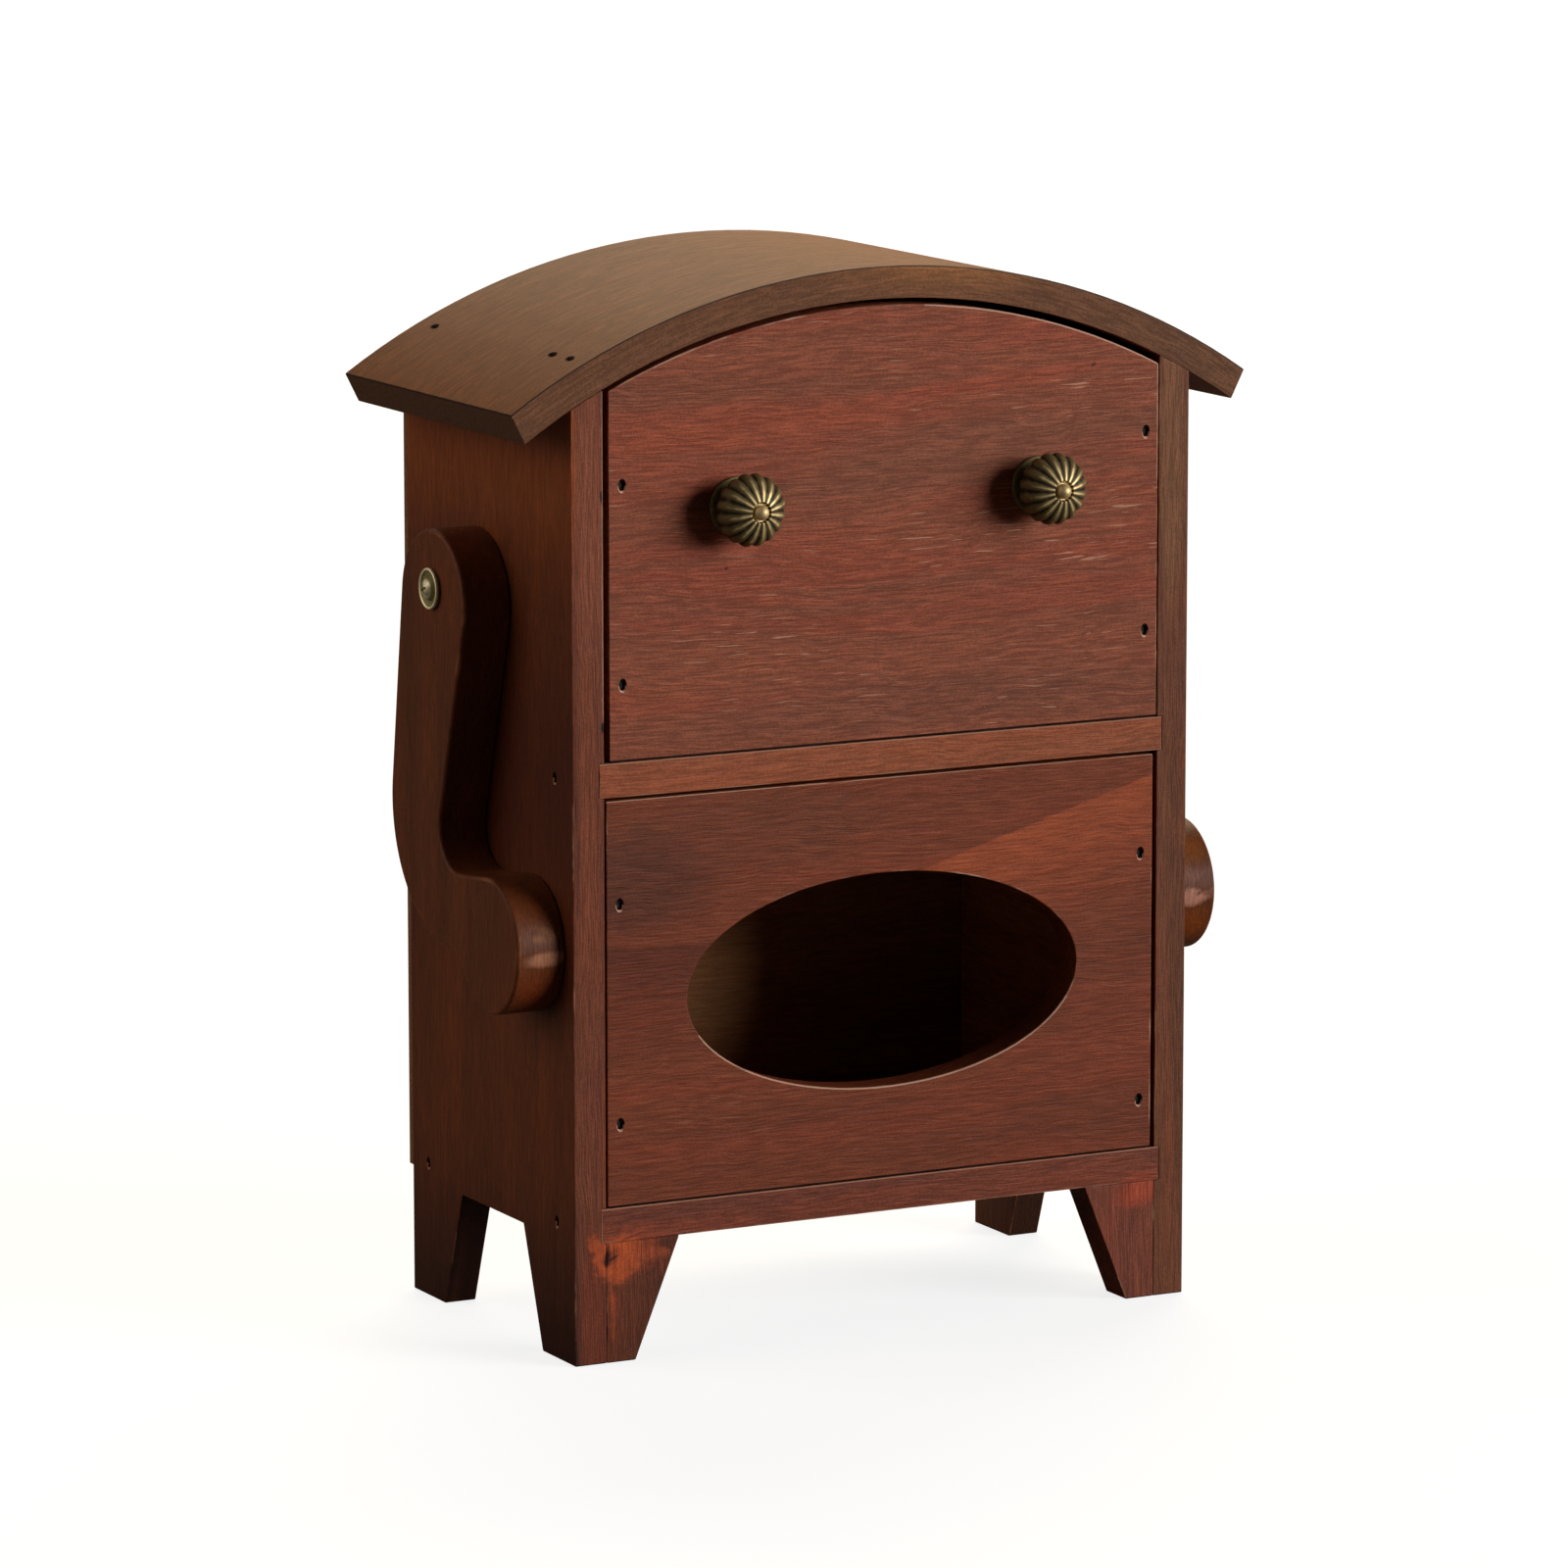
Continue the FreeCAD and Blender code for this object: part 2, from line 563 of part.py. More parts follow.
def left_arm():
    """The left arm as sawn from a board, its edges rounded over, bored for the screw."""
    discs = [
        (SHOULDER_CENTRE, SHOULDER_RADIUS),
        (CROOK_CENTRE, -crook_radius()),
        (FIST_CENTRE, FIST_RADIUS),
        (wrist_centre(), -WRIST_RADIUS),
        (ELBOW_CENTRE, ELBOW_RADIUS),
    ]
    inner = -HALF_WIDTH - ARM_GAP
    blank = face_of(belt_edges(discs, inner)).extrude(Vec(-ARM_THICKNESS, 0, 0))
    arm = blank.makeChamfer(ARM_EDGE_EASE, outline_edges(blank))
    middle = inner - ARM_THICKNESS / 2
    outer_corners = [edge for edge in outline_edges(arm) if edge.BoundBox.XMax < middle]
    arm = arm.makeChamfer(ARM_CORNER_EASE, outer_corners)
    arm.translate(Vec(0, PIVOT_DEPTH, PIVOT_HEIGHT))
    bore = rod(pivot_point(), -RIGHTWARD, ARM_THICKNESS + 2 * ARM_GAP,
               ARM_SCREW_DIAMETER / 2 + ARM_BORE_CLEARANCE)
    return arm.cut(bore)


def right_arm():
    """The right arm, the left one's mirror image hanging a little lower."""
    arm = mirrored(left_arm())
    pivot = pivot_point()
    return arm.rotate(pivot, RIGHTWARD, RIGHT_ARM_DROP)


def turned_on_pivot(profile):
    """A ring or head turned about the screw's axis from (radius, distance out) points."""
    face = inner_face(profile)
    return face.revolve(pivot_point(), RIGHTWARD, 360)


def inner_face(profile):
    """The half section of a turned piece, beside the screw's axis."""
    pivot = pivot_point()
    points = [pivot + Vec(-out, 0, radius) for radius, out in profile]
    return face_of(chain(points))


def left_washer():
    """A dished washer with a raised lip, just clear of the arm that turns under it."""
    seat = ARM_GAP + ARM_THICKNESS + WASHER_GAP
    bore = ARM_SCREW_DIAMETER / 2 + ARM_BORE_CLEARANCE
    outer = WASHER_DIAMETER / 2
    profile = [
        (bore, seat),
        (outer, seat),
        (outer, seat + WASHER_LIP_HEIGHT),
        (outer - WASHER_LIP_THICKNESS, seat + WASHER_LIP_HEIGHT),
        (outer - WASHER_LIP_THICKNESS, seat + WASHER_FLOOR),
        (bore, seat + WASHER_FLOOR),
    ]
    return turned_on_pivot(profile)


def left_screw():
    """A round-headed wood screw through washer and arm into the side."""
    seat = ARM_GAP + ARM_THICKNESS + WASHER_GAP + WASHER_FLOOR
    shank_radius, head_radius = ARM_SCREW_DIAMETER / 2, SCREW_HEAD_DIAMETER / 2
    dome_radius = (head_radius ** 2 + SCREW_HEAD_HEIGHT ** 2) / (2 * SCREW_HEAD_HEIGHT)
    dome_centre = seat + SCREW_HEAD_HEIGHT - dome_radius
    widest = math.asin(head_radius / dome_radius)
    dome = [(dome_radius * math.sin(angle), dome_centre + dome_radius * math.cos(angle))
            for angle in spread_evenly(widest, 0, SCREW_HEAD_RINGS)]
    profile = [(0, -ARM_SCREW_BITE), (shank_radius, -ARM_SCREW_BITE), (shank_radius, seat)]
    return turned_on_pivot(profile + dome)


def pair(left_piece):
    """A left piece and its mirror image as one group."""
    return Part.makeCompound([left_piece, mirrored(left_piece)])


def nodes():
    """Every piece of the object under its own name."""
    pieces = {
        "left_side": left_side(),
        "right_side": mirrored(left_side()),
        "bottom_board": shelf(LEG_HEIGHT),
        "divider_shelf": shelf(DIVIDER_FLOOR),
        "back_panel": back_panel(),
        "roof_board": roof(),
        "left_foot_bracket": left_bracket(),
        "right_foot_bracket": mirrored(left_bracket()),
        "shelf_brads": shelf_brads(brad),
        "roof_brads": roof_brads(brad),
        "back_brads": back_brads(brad),
        "arm_screws": pair(left_screw()),
        "arm_washers": pair(left_washer()),
        "left_arm": left_arm(),
        "right_arm": right_arm(),
        "upper_drawer_front": upper_front(),
        "tissue_drawer_front": tissue_front(),
        "knobs": knobs(),
        "knob_screws": knob_screws(),
    }
    for name, drawer in (("upper_drawer", UPPER), ("tissue_drawer", TISSUE)):
        pieces[name + "_left_side"] = drawer.side(drawer.left)
        pieces[name + "_right_side"] = drawer.side(drawer.right - DRAWER_WALL)
        pieces[name + "_back"] = drawer.back()
        pieces[name + "_bottom"] = drawer.ply_space()
        pieces[name + "_brads"] = drawer.brads(brad)
    return pieces


def main():
    os.makedirs("parts", exist_ok=True)
    for name, shape in nodes().items():
        shape.translate(ORIGIN_SHIFT)
        shape.exportStep(os.path.join("parts", name + ".step"))
        box = shape.BoundBox
        print("%-26s %d solid(s) valid=%s %8.2f cm3  X %.1f..%.1f  Y %.1f..%.1f  Z %.1f..%.1f" % (
            name, len(shape.Solids), shape.isValid(), shape.Volume / 1000,
            box.XMin, box.XMax, box.YMin, box.YMax, box.ZMin, box.ZMax))


main()
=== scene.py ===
"""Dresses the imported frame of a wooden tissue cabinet.

Stained boards with eased and worn edges, a bent roof, sawn arms on cup washers and fluted
knobs of aged brass. Lengths are metres in the frame's own coordinates, or millimetres where
a docstring says so, and each piece takes its size and place from the frame's nodes and joints.
"""

import functools
import json
import logging
import math
from collections.abc import Callable, Iterator, Sequence
from contextlib import contextmanager
from dataclasses import dataclass, field, replace
from enum import Enum
from typing import Any

import bmesh
import bpy
from mathutils import Matrix, Vector


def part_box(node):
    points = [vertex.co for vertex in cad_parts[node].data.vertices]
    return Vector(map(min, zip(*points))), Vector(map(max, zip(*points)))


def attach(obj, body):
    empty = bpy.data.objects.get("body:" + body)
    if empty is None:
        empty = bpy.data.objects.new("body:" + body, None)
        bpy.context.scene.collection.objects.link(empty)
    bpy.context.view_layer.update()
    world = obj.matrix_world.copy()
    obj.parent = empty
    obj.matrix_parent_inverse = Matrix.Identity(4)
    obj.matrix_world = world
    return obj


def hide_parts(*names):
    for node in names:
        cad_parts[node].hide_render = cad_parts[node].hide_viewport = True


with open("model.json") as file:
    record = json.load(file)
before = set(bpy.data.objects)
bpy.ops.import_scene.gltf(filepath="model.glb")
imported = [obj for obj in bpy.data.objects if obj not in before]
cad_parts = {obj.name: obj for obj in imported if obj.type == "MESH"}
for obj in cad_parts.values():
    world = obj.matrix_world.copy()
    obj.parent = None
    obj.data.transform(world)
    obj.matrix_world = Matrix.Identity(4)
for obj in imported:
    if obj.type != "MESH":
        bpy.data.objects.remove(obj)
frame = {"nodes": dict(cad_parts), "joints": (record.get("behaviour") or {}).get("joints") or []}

LOG = logging.getLogger("tissue_cabinet")
MM = 0.001
NEAR = 0.02 * MM                # points this close lie at one place
WELD = NEAR / 10                # points this close are joined
FRONT_PLANE = -56.75 * MM       # where the fronts lie along Y
FLAT = 0.6                      # degrees between faces that are made one
SHARP_EDGE = 30.0               # degrees between the faces of an edge that is eased
EDGE_TILT = 0.6                 # a sawn edge faces the board's thin way by less than this

# Marks stored on the meshes, for the materials to read
WEAR_AND_SHADE = "wear"                   # on faces: from 1 on an eased edge, above 1 where wear and a painted highlight are added, and below 0 for painted shade, with stain collected in pits
SAWN = "sawn"                   # on faces: 1 on a board's sawn edges, 0 on its faces
CREST = "crest"                 # on points: 1 on high spots of brass, 0 in its hollows
RUBBED_AND_HIGHLIT = 1.9               # wear and a painted highlight on an edge's most worn stretches, which catch the light
CRUSHED_AND_HIGHLIT = 3.0                   # crushed wear and a painted highlight on the lower rim of a pit
LOWER_EDGE_SHADE = 0.85                   # painted shade on a lower edge, in a drawer front's gap and under a foot

Colour = tuple[int, int, int]
Triple = tuple[float, float, float]
Piece = bpy.types.Object
Socket = bpy.types.NodeSocket
Node = bpy.types.Node
Tree = bpy.types.NodeTree
Face = bpy.types.MeshPolygon

ORIGIN = (0.0, 0.0, 0.0)
GREY = (0.5, 0.5, 0.5, 1.0)
WHITE = (1.0, 1.0, 1.0, 1.0)
# Near black: painted shade in gaps, notches, under feet and on the roof's end, stain collected in pits,
# and the roof's dark lines.
SHADE_AND_POOLED_STAIN = (0.006, 0.003, 0.002, 1.0)


def linear(colour: Colour) -> tuple[float, float, float, float]:
    """Turn a screen colour into the values that a colour socket takes.

    Args:
        colour: Red, green and blue from 0 to 255.

    Returns:
        Linear red, green, blue and an alpha of 1.
    """
    parts = [value / 255 for value in colour]
    straight = [p / 12.92 if p <= 0.04045 else ((p + 0.055) / 1.055) ** 2.4 for p in parts]
    return (*straight, 1.0)


# ---- shader nodes ----

class ShaderBench:
    """Adds nodes to one tree and joins them."""

    def __init__(self, tree: Tree) -> None:
        """Work on a tree."""
        self.tree = tree

    def add(self, kind: str, **settings: Any) -> Node:
        """Add a node.

        Args:
            kind: The node's type name.
            **settings: Its own properties.

        Returns:
            The node, laid out beside the earlier ones.
        """
        node = self.tree.nodes.new(kind)
        column, row = divmod(len(self.tree.nodes) - 1, 6)
        node.location = (column * 200, -row * 220)
        for name, value in settings.items():
            setattr(node, name, value)
        return node

    def feed(self, socket: Socket, value: Any) -> None:
        """Join an output to a socket, or write a plain value on it.

        Args:
            socket: The input.
            value: An output, or a value of the input's kind.
        """
        if isinstance(value, Socket):
            self.tree.links.new(value, socket)
        else:
            socket.default_value = value

    def fill(self, kind: str, values: Sequence[Any], **settings: Any) -> Node:
        """Add a node and feed its first inputs in order.

        Args:
            kind: The node's type name.
            values: What the inputs take.
            **settings: The node's own properties.

        Returns:
            The node.
        """
        node = self.add(kind, **settings)
        for socket, value in zip(node.inputs, values):
            self.feed(socket, value)
        return node

    def math(self, operation: str, *values: Any) -> Socket:
        """Work out one number from others."""
        return self.fill("ShaderNodeMath", values, operation=operation).outputs[0]

    def plus(self, first: Any, second: Any) -> Socket:
        """The sum of two numbers."""
        return self.math("ADD", first, second)

    def less(self, first: Any, second: Any) -> Socket:
        """The first number less the second."""
        return self.math("SUBTRACT", first, second)

    def most(self, first: Any, second: Any) -> Socket:
        """The higher of two numbers."""
        return self.math("MAXIMUM", first, second)

    def times(self, first: Any, *others: Any) -> Socket:
        """The product of two or more numbers."""
        return functools.reduce(functools.partial(self.math, "MULTIPLY"), others, first)

    def vector_math(self, operation: str, *values: Any) -> Socket:
        """Work out one vector, or its length, from others."""
        node = self.fill("ShaderNodeVectorMath", values, operation=operation)
        return node.outputs["Value" if operation in ("LENGTH", "DOT_PRODUCT") else "Vector"]

    def combine(self, x: Any, y: Any, z: Any) -> Socket:
        """Make a vector of three numbers."""
        return self.fill("ShaderNodeCombineXYZ", (x, y, z)).outputs[0]

    def separate(self, vector: Socket) -> tuple[Socket, ...]:
        """Split a vector into its three numbers."""
        return tuple(self.fill("ShaderNodeSeparateXYZ", (vector,)).outputs)

    def noise(self, vector: Any, stretch: Triple, detail: float = 2.0) -> Socket:
        """Soft noise on stretched coordinates.

        Args:
            vector: Coordinates in metres.
            stretch: Patches per metre along each axis.
            detail: How much finer noise is added.

        Returns:
            A number around 0.5.
        """
        node = self.add("ShaderNodeTexNoise")
        self.feed(node.inputs["Vector"], self.vector_math("MULTIPLY", vector, stretch))
        node.inputs["Scale"].default_value = 1.0
        node.inputs["Detail"].default_value = detail
        return node.outputs[0]

    def swing(self, vector: Any, stretch: Triple, detail: float = 2.0) -> Socket:
        """Soft noise like the above, around 0."""
        return self.less(self.noise(vector, stretch, detail), 0.5)

    def ramp(self, value: Any, low: Any, high: Any) -> Socket:
        """A smooth step from 0 to 1 as the value goes from low to high."""
        node = self.fill("ShaderNodeMapRange", (value, low, high), interpolation_type="SMOOTHSTEP")
        return node.outputs["Result"]

    def mix(self, factor: Any, first: Any, second: Any, blend: str = "MIX") -> Socket:
        """Blend two colours.

        Args:
            factor: Share of the second.
            first: The colour below.
            second: The colour above.
            blend: The blend type's name.

        Returns:
            The blended colour.
        """
        node = self.add("ShaderNodeMix", data_type="RGBA", blend_type=blend)
        for place, value in ((0, factor), (6, first), (7, second)):
            self.feed(node.inputs[place], value)
        return node.outputs[2]

    def group(self, tree: Tree, **values: Any) -> dict[str, Socket]:
        """Place a node group.

        Args:
            tree: The group.
            **values: What its inputs take, by their names.

        Returns:
            The group's outputs by their names.
        """
        node = self.add("ShaderNodeGroup", node_tree=tree)
        for name, value in values.items():
            self.feed(node.inputs[name], value)
        return {socket.name: socket for socket in node.outputs}


class GroupBench(ShaderBench):
    """Builds a node group with named sockets."""

    def __init__(self, name: str, inputs: dict[str, Any], **outputs: str) -> None:
        """Start the group.

        Args:
            name: The group's name.
            inputs: Socket names with starting values, which also give the sockets' kinds.
            **outputs: Socket names with their kinds, Color or Float.
        """
        super().__init__(bpy.data.node_groups.new(name, "ShaderNodeTree"))
        sockets = self.tree.interface
        for label, value in inputs.items():
            size = len(value) if isinstance(value, tuple) else 1
            kind = "NodeSocket" + {1: "Float", 3: "Vector", 4: "Color"}[size]
            sockets.new_socket(name=label, in_out="INPUT", socket_type=kind).default_value = value
        for label, kind in outputs.items():
            sockets.new_socket(name=label, in_out="OUTPUT", socket_type="NodeSocket" + kind)
        self.given = {socket.name: socket for socket in self.add("NodeGroupInput").outputs}
        self.result = self.add("NodeGroupOutput")

    def close(self, **values: Any) -> Tree:
        """Feed the group's outputs.

        Args:
            **values: What they take, by their names.

        Returns:
            The finished group.
        """
        for name, value in values.items():
            self.feed(self.result.inputs[name], value)
        return self.tree


class PatchBench(GroupBench):
    """Builds a group for a local patch of stain, painted light and painted shade, that can be turned on
    the XZ plane.
    """

    def __init__(self, name: str) -> None:
        """Start the group, and find each place as a share of the stain's size.

        Args:
            name: The group's name.
        """
        super().__init__(name, {"Vector": ORIGIN, "Centre": ORIGIN, "Size": (1.0, 1.0, 1.0), "Turn": 0.0,
                                "Softness": 0.5, "Ragged": 0.3}, Mask="Float")
        turned = self.add("ShaderNodeVectorRotate", rotation_type="Y_AXIS")
        offset = self.vector_math("SUBTRACT", self.given["Vector"], self.given["Centre"])
        self.feed(turned.inputs["Vector"], offset)
        self.feed(turned.inputs["Angle"], self.given["Turn"])
        self.share = self.vector_math("DIVIDE", turned.outputs[0], self.given["Size"])

    def unevenness(self, stretch: Triple, detail: float) -> Socket:
        """How far the stain's border wanders."""
        return self.times(self.swing(self.given["Vector"], stretch, detail), self.given["Ragged"])


class MaterialBench(ShaderBench):
    """Builds a material round its Principled shader, on object coordinates."""

    def __init__(self, label: str) -> None:
        """Start the material.

        Args:
            label: Its name.
        """
        self.material = bpy.data.materials.new(label)
        self.material.use_nodes = True
        super().__init__(self.material.node_tree)
        self.shader = self.tree.nodes["Principled BSDF"]
        self.place = self.add("ShaderNodeTexCoord").outputs["Object"]

    def mark(self, name: str) -> Socket:
        """A number that is stored on the mesh."""
        return self.add("ShaderNodeAttribute", attribute_name=name).outputs["Fac"]

    def shade(self, values: dict[str, Any]) -> None:
        """Feed the shader's inputs by their names."""
        for name, value in values.items():
            self.feed(self.shader.inputs[name], value)

    def roughen(self, height: Socket, strength: float, depth: float) -> None:
        """Give the surface relief.

        Args:
            height: The relief's height.
            strength: How strongly it tilts the surface.
            depth: Its depth in metres.
        """
        bump = self.add("ShaderNodeBump")
        for name, value in (("Strength", strength), ("Distance", depth), ("Height", height)):
            self.feed(bump.inputs[name], value)
        self.shade({"Normal": bump.outputs[0]})


@functools.cache
def wood_grain() -> Tree:
    """Stained wood: soft blotches, wandering lines, pores and light torn flecks.

    Returns:
        A group that reads metres with the grain along X.
    """
    bench = GroupBench("WoodGrain", {"Vector": ORIGIN, "Ground": GREY, "Deep": GREY, "Warm": GREY,
                                     "Fleck": GREY, "Bands": 0.5, "Streaks": 0.5, "Flecks": 0.5},
                       Color="Color", Relief="Float", Shade="Float")
    given, vector = bench.given, bench.given["Vector"]
    wander = bench.swing(vector, (8, 26, 26))
    wave = bench.swing(vector, (48, 60, 60), 1)
    aside = bench.plus(bench.times(wander, 0.010), bench.times(wave, 0.0022))
    line = bench.vector_math("ADD", vector, bench.combine(0.0, aside, aside))
    elsewhere = bench.vector_math("ADD", line, (3.1, 1.7, 0.9))

    dark_band = bench.ramp(bench.noise(line, (3, 62, 62), 2), 0.42, 0.66)
    warm_band = bench.ramp(bench.noise(elsewhere, (6, 95, 95), 2), 0.44, 0.66)
    color = bench.mix(bench.times(dark_band, given["Bands"]), given["Ground"], given["Deep"])
    color = bench.mix(bench.times(warm_band, given["Bands"]), color, given["Warm"])

    ripple = bench.noise(line, (62, 950, 950), 1)
    streak = bench.noise(elsewhere, (130, 1900, 1900), 2)
    speck = bench.swing(vector, (1400, 1400, 1400), 1)
    fine = bench.less(bench.plus(ripple, streak), 0.98)
    uneven = bench.times(bench.plus(fine, bench.times(speck, 0.9)), given["Streaks"])
    shade = bench.plus(1.0, bench.most(uneven, -0.2))
    color = bench.mix(1.0, color, shade, "MULTIPLY")

    pores = bench.ramp(bench.noise(elsewhere, (90, 1500, 1500), 1), 0.62, 0.76)
    color = bench.mix(bench.times(pores, 0.2), color, given["Deep"])
    torn = bench.ramp(bench.noise(line, (66, 1150, 1150), 1), 0.655, 0.735)
    where = bench.ramp(bench.noise(elsewhere, (14, 30, 30), 1), 0.47, 0.6)
    fleck = bench.times(torn, where, given["Flecks"])
    relief = bench.plus(bench.less(fine, bench.times(pores, 0.4)), fleck)
    return bench.close(Color=bench.mix(fleck, color, given["Fleck"]), Relief=relief, Shade=shade)


@functools.cache
def stain_and_light_patch() -> Tree:
    """A ragged oval, for stain and for painted light and shade.

    Returns:
        A group whose mask is 1 inside the oval.
    """
    bench = PatchBench("StainAndLightPatch")
    reach = bench.plus(bench.vector_math("LENGTH", bench.share), bench.unevenness((130, 60, 210), 5))
    outside = bench.ramp(reach, bench.less(1.0, bench.given["Softness"]), 1.0)
    return bench.close(Mask=bench.less(1.0, outside))


@functools.cache
def stain_slope() -> Tree:
    """A band of stain that starts at a crisp line and fades out below it.

    Returns:
        A group whose mask is 1 just below the line through its centre.
    """
    bench = PatchBench("StainSlope")
    softness = bench.given["Softness"]
    along, _, up = bench.separate(bench.share)
    down = bench.times(bench.plus(up, bench.unevenness((60, 60, 400), 2)), -1.0)
    under = bench.ramp(down, 0.0, softness)
    fade = bench.less(1.0, bench.ramp(down, softness, 1.0))
    ends = bench.less(1.0, bench.ramp(bench.math("ABSOLUTE", along), 0.75, 1.0))
    return bench.close(Mask=bench.times(under, fade, ends))


@functools.cache
def edge_wear_and_shade() -> Tree:
    """Stain worn off eased edges in uneven stretches, wider where a highlight is painted, and near black
    for painted shade and for stain collected in pits.

    Returns:
        A group that reads the wear mark and gives the worn colour, with its painted highlight and painted
        shade.
    """
    bench = GroupBench("EdgeWear", {"Vector": ORIGIN, "Color": GREY, "Worn": GREY, "Wear": 0.0,
                                    "Amount": 0.5}, Color="Color")
    given, wear = bench.given, bench.given["Wear"]
    # A mark above 1 widens the worn stretches: wear with a painted highlight on edges that catch the
    # light.
    extra = bench.times(bench.less(wear, 1.0), 0.3)
    rubbed_and_highlit = bench.plus(bench.noise(given["Vector"], (60, 60, 60), 5), bench.most(extra, 0.0))
    low = bench.less(0.72, bench.times(given["Amount"], 0.4))
    mask = bench.times(bench.ramp(rubbed_and_highlit, low, bench.plus(low, 0.22)), bench.ramp(wear, 0.0, 0.9))
    color = bench.mix(mask, given["Color"], given["Worn"])
    # A mark below 0 turns the colour near black: painted shade, and stain collected in pits.
    pooled = bench.ramp(bench.times(wear, -1.0), 0.0, 1.0)
    return bench.close(Color=bench.mix(pooled, color, SHADE_AND_POOLED_STAIN))


@functools.cache
def brass_patina() -> Tree:
    """Brass that has darkened in its hollows and is rubbed bright on its high spots.

    Returns:
        A group that reads a height from 0 to 1 and gives colour, metal and roughness.
    """
    bench = GroupBench("BrassPatina", {"Vector": ORIGIN, "Height": 0.5, "Dark": GREY, "Olive": GREY,
                                       "Bright": GREY}, Color="Color", Metallic="Float", Roughness="Float")
    given = bench.given
    blotch = bench.swing(given["Vector"], (420, 420, 420), 4)
    speck = bench.noise(given["Vector"], (2600, 2600, 2600), 2)
    height = bench.plus(given["Height"], bench.times(blotch, 0.7))
    color = bench.mix(bench.ramp(height, -0.05, 0.42), given["Dark"], given["Olive"])
    bare = bench.ramp(height, 0.62, 1.05)
    color = bench.mix(bare, color, given["Bright"])
    color = bench.mix(bench.times(bench.ramp(speck, 0.6, 0.7), 0.4), color, given["Dark"])
    rough = bench.less(0.58, bench.times(bare, 0.1))
    return bench.close(Color=color, Metallic=bench.plus(0.55, bench.times(bare, 0.15)),
                       Roughness=bench.plus(rough, bench.times(speck, 0.1)))


# ---- finishes ----

class Grain(Enum):
    """Which way a board's grain runs: its axes in order, along the grain first."""

    ACROSS = (0, 2, 1)
    DEEP = (1, 0, 2)
    UPRIGHT = (2, 0, 1)
    BENT = ()                   # round the roof's arc


class PatchKind(Enum):
    """The kinds of local patch."""

    OVAL = "a ragged oval"
    SLOPE = "a crisp line that fades below"


@dataclass(frozen=True)
class Patch:
    """A local change of colour, placed on the XZ plane in millimetres: stain, and in places painted light
    and shade.

    Attributes:
        centre: X and Z.
        size: Half width and half height of an oval; half length and depth of a slope.
        turn: Degrees by which it rises to the right.
        colour: The colour there.
        strength: How far the colour is reached.
        softness: Share of the size over which it fades in.
        ragged: How uneven its border is.
        kind: Its form.
        reach: How far it runs to and fro from its own plane.
        plane: Y of its own plane. The fronts' plane when not given.
    """

    centre: tuple[float, float]
    size: tuple[float, float]
    turn: float
    colour: Colour
    strength: float
    softness: float = 0.6
    ragged: float = 0.5
    kind: PatchKind = PatchKind.OVAL
    reach: float = 1000.0
    plane: float = FRONT_PLANE / MM

    def lay(self, bench: MaterialBench, under: Socket, shade: Socket) -> Socket:
        """Lay the patch over a colour.

        Args:
            bench: The material's bench.
            under: The colour below.
            shade: The fine grain, which shows through.

        Returns:
            The mixed colour.
        """
        (x, z), (wide, high) = self.centre, self.size
        laid = bench.group(
            stain_and_light_patch() if self.kind is PatchKind.OVAL else stain_slope(), Vector=bench.place,
            Centre=(x * MM, self.plane * MM, z * MM), Size=(wide * MM, self.reach * MM, high * MM),
            Turn=math.radians(self.turn), Softness=self.softness, Ragged=self.ragged)
        grained = bench.mix(1.0, linear(self.colour), shade, "MULTIPLY")
        return bench.mix(bench.times(laid["Mask"], self.strength), under, grained)


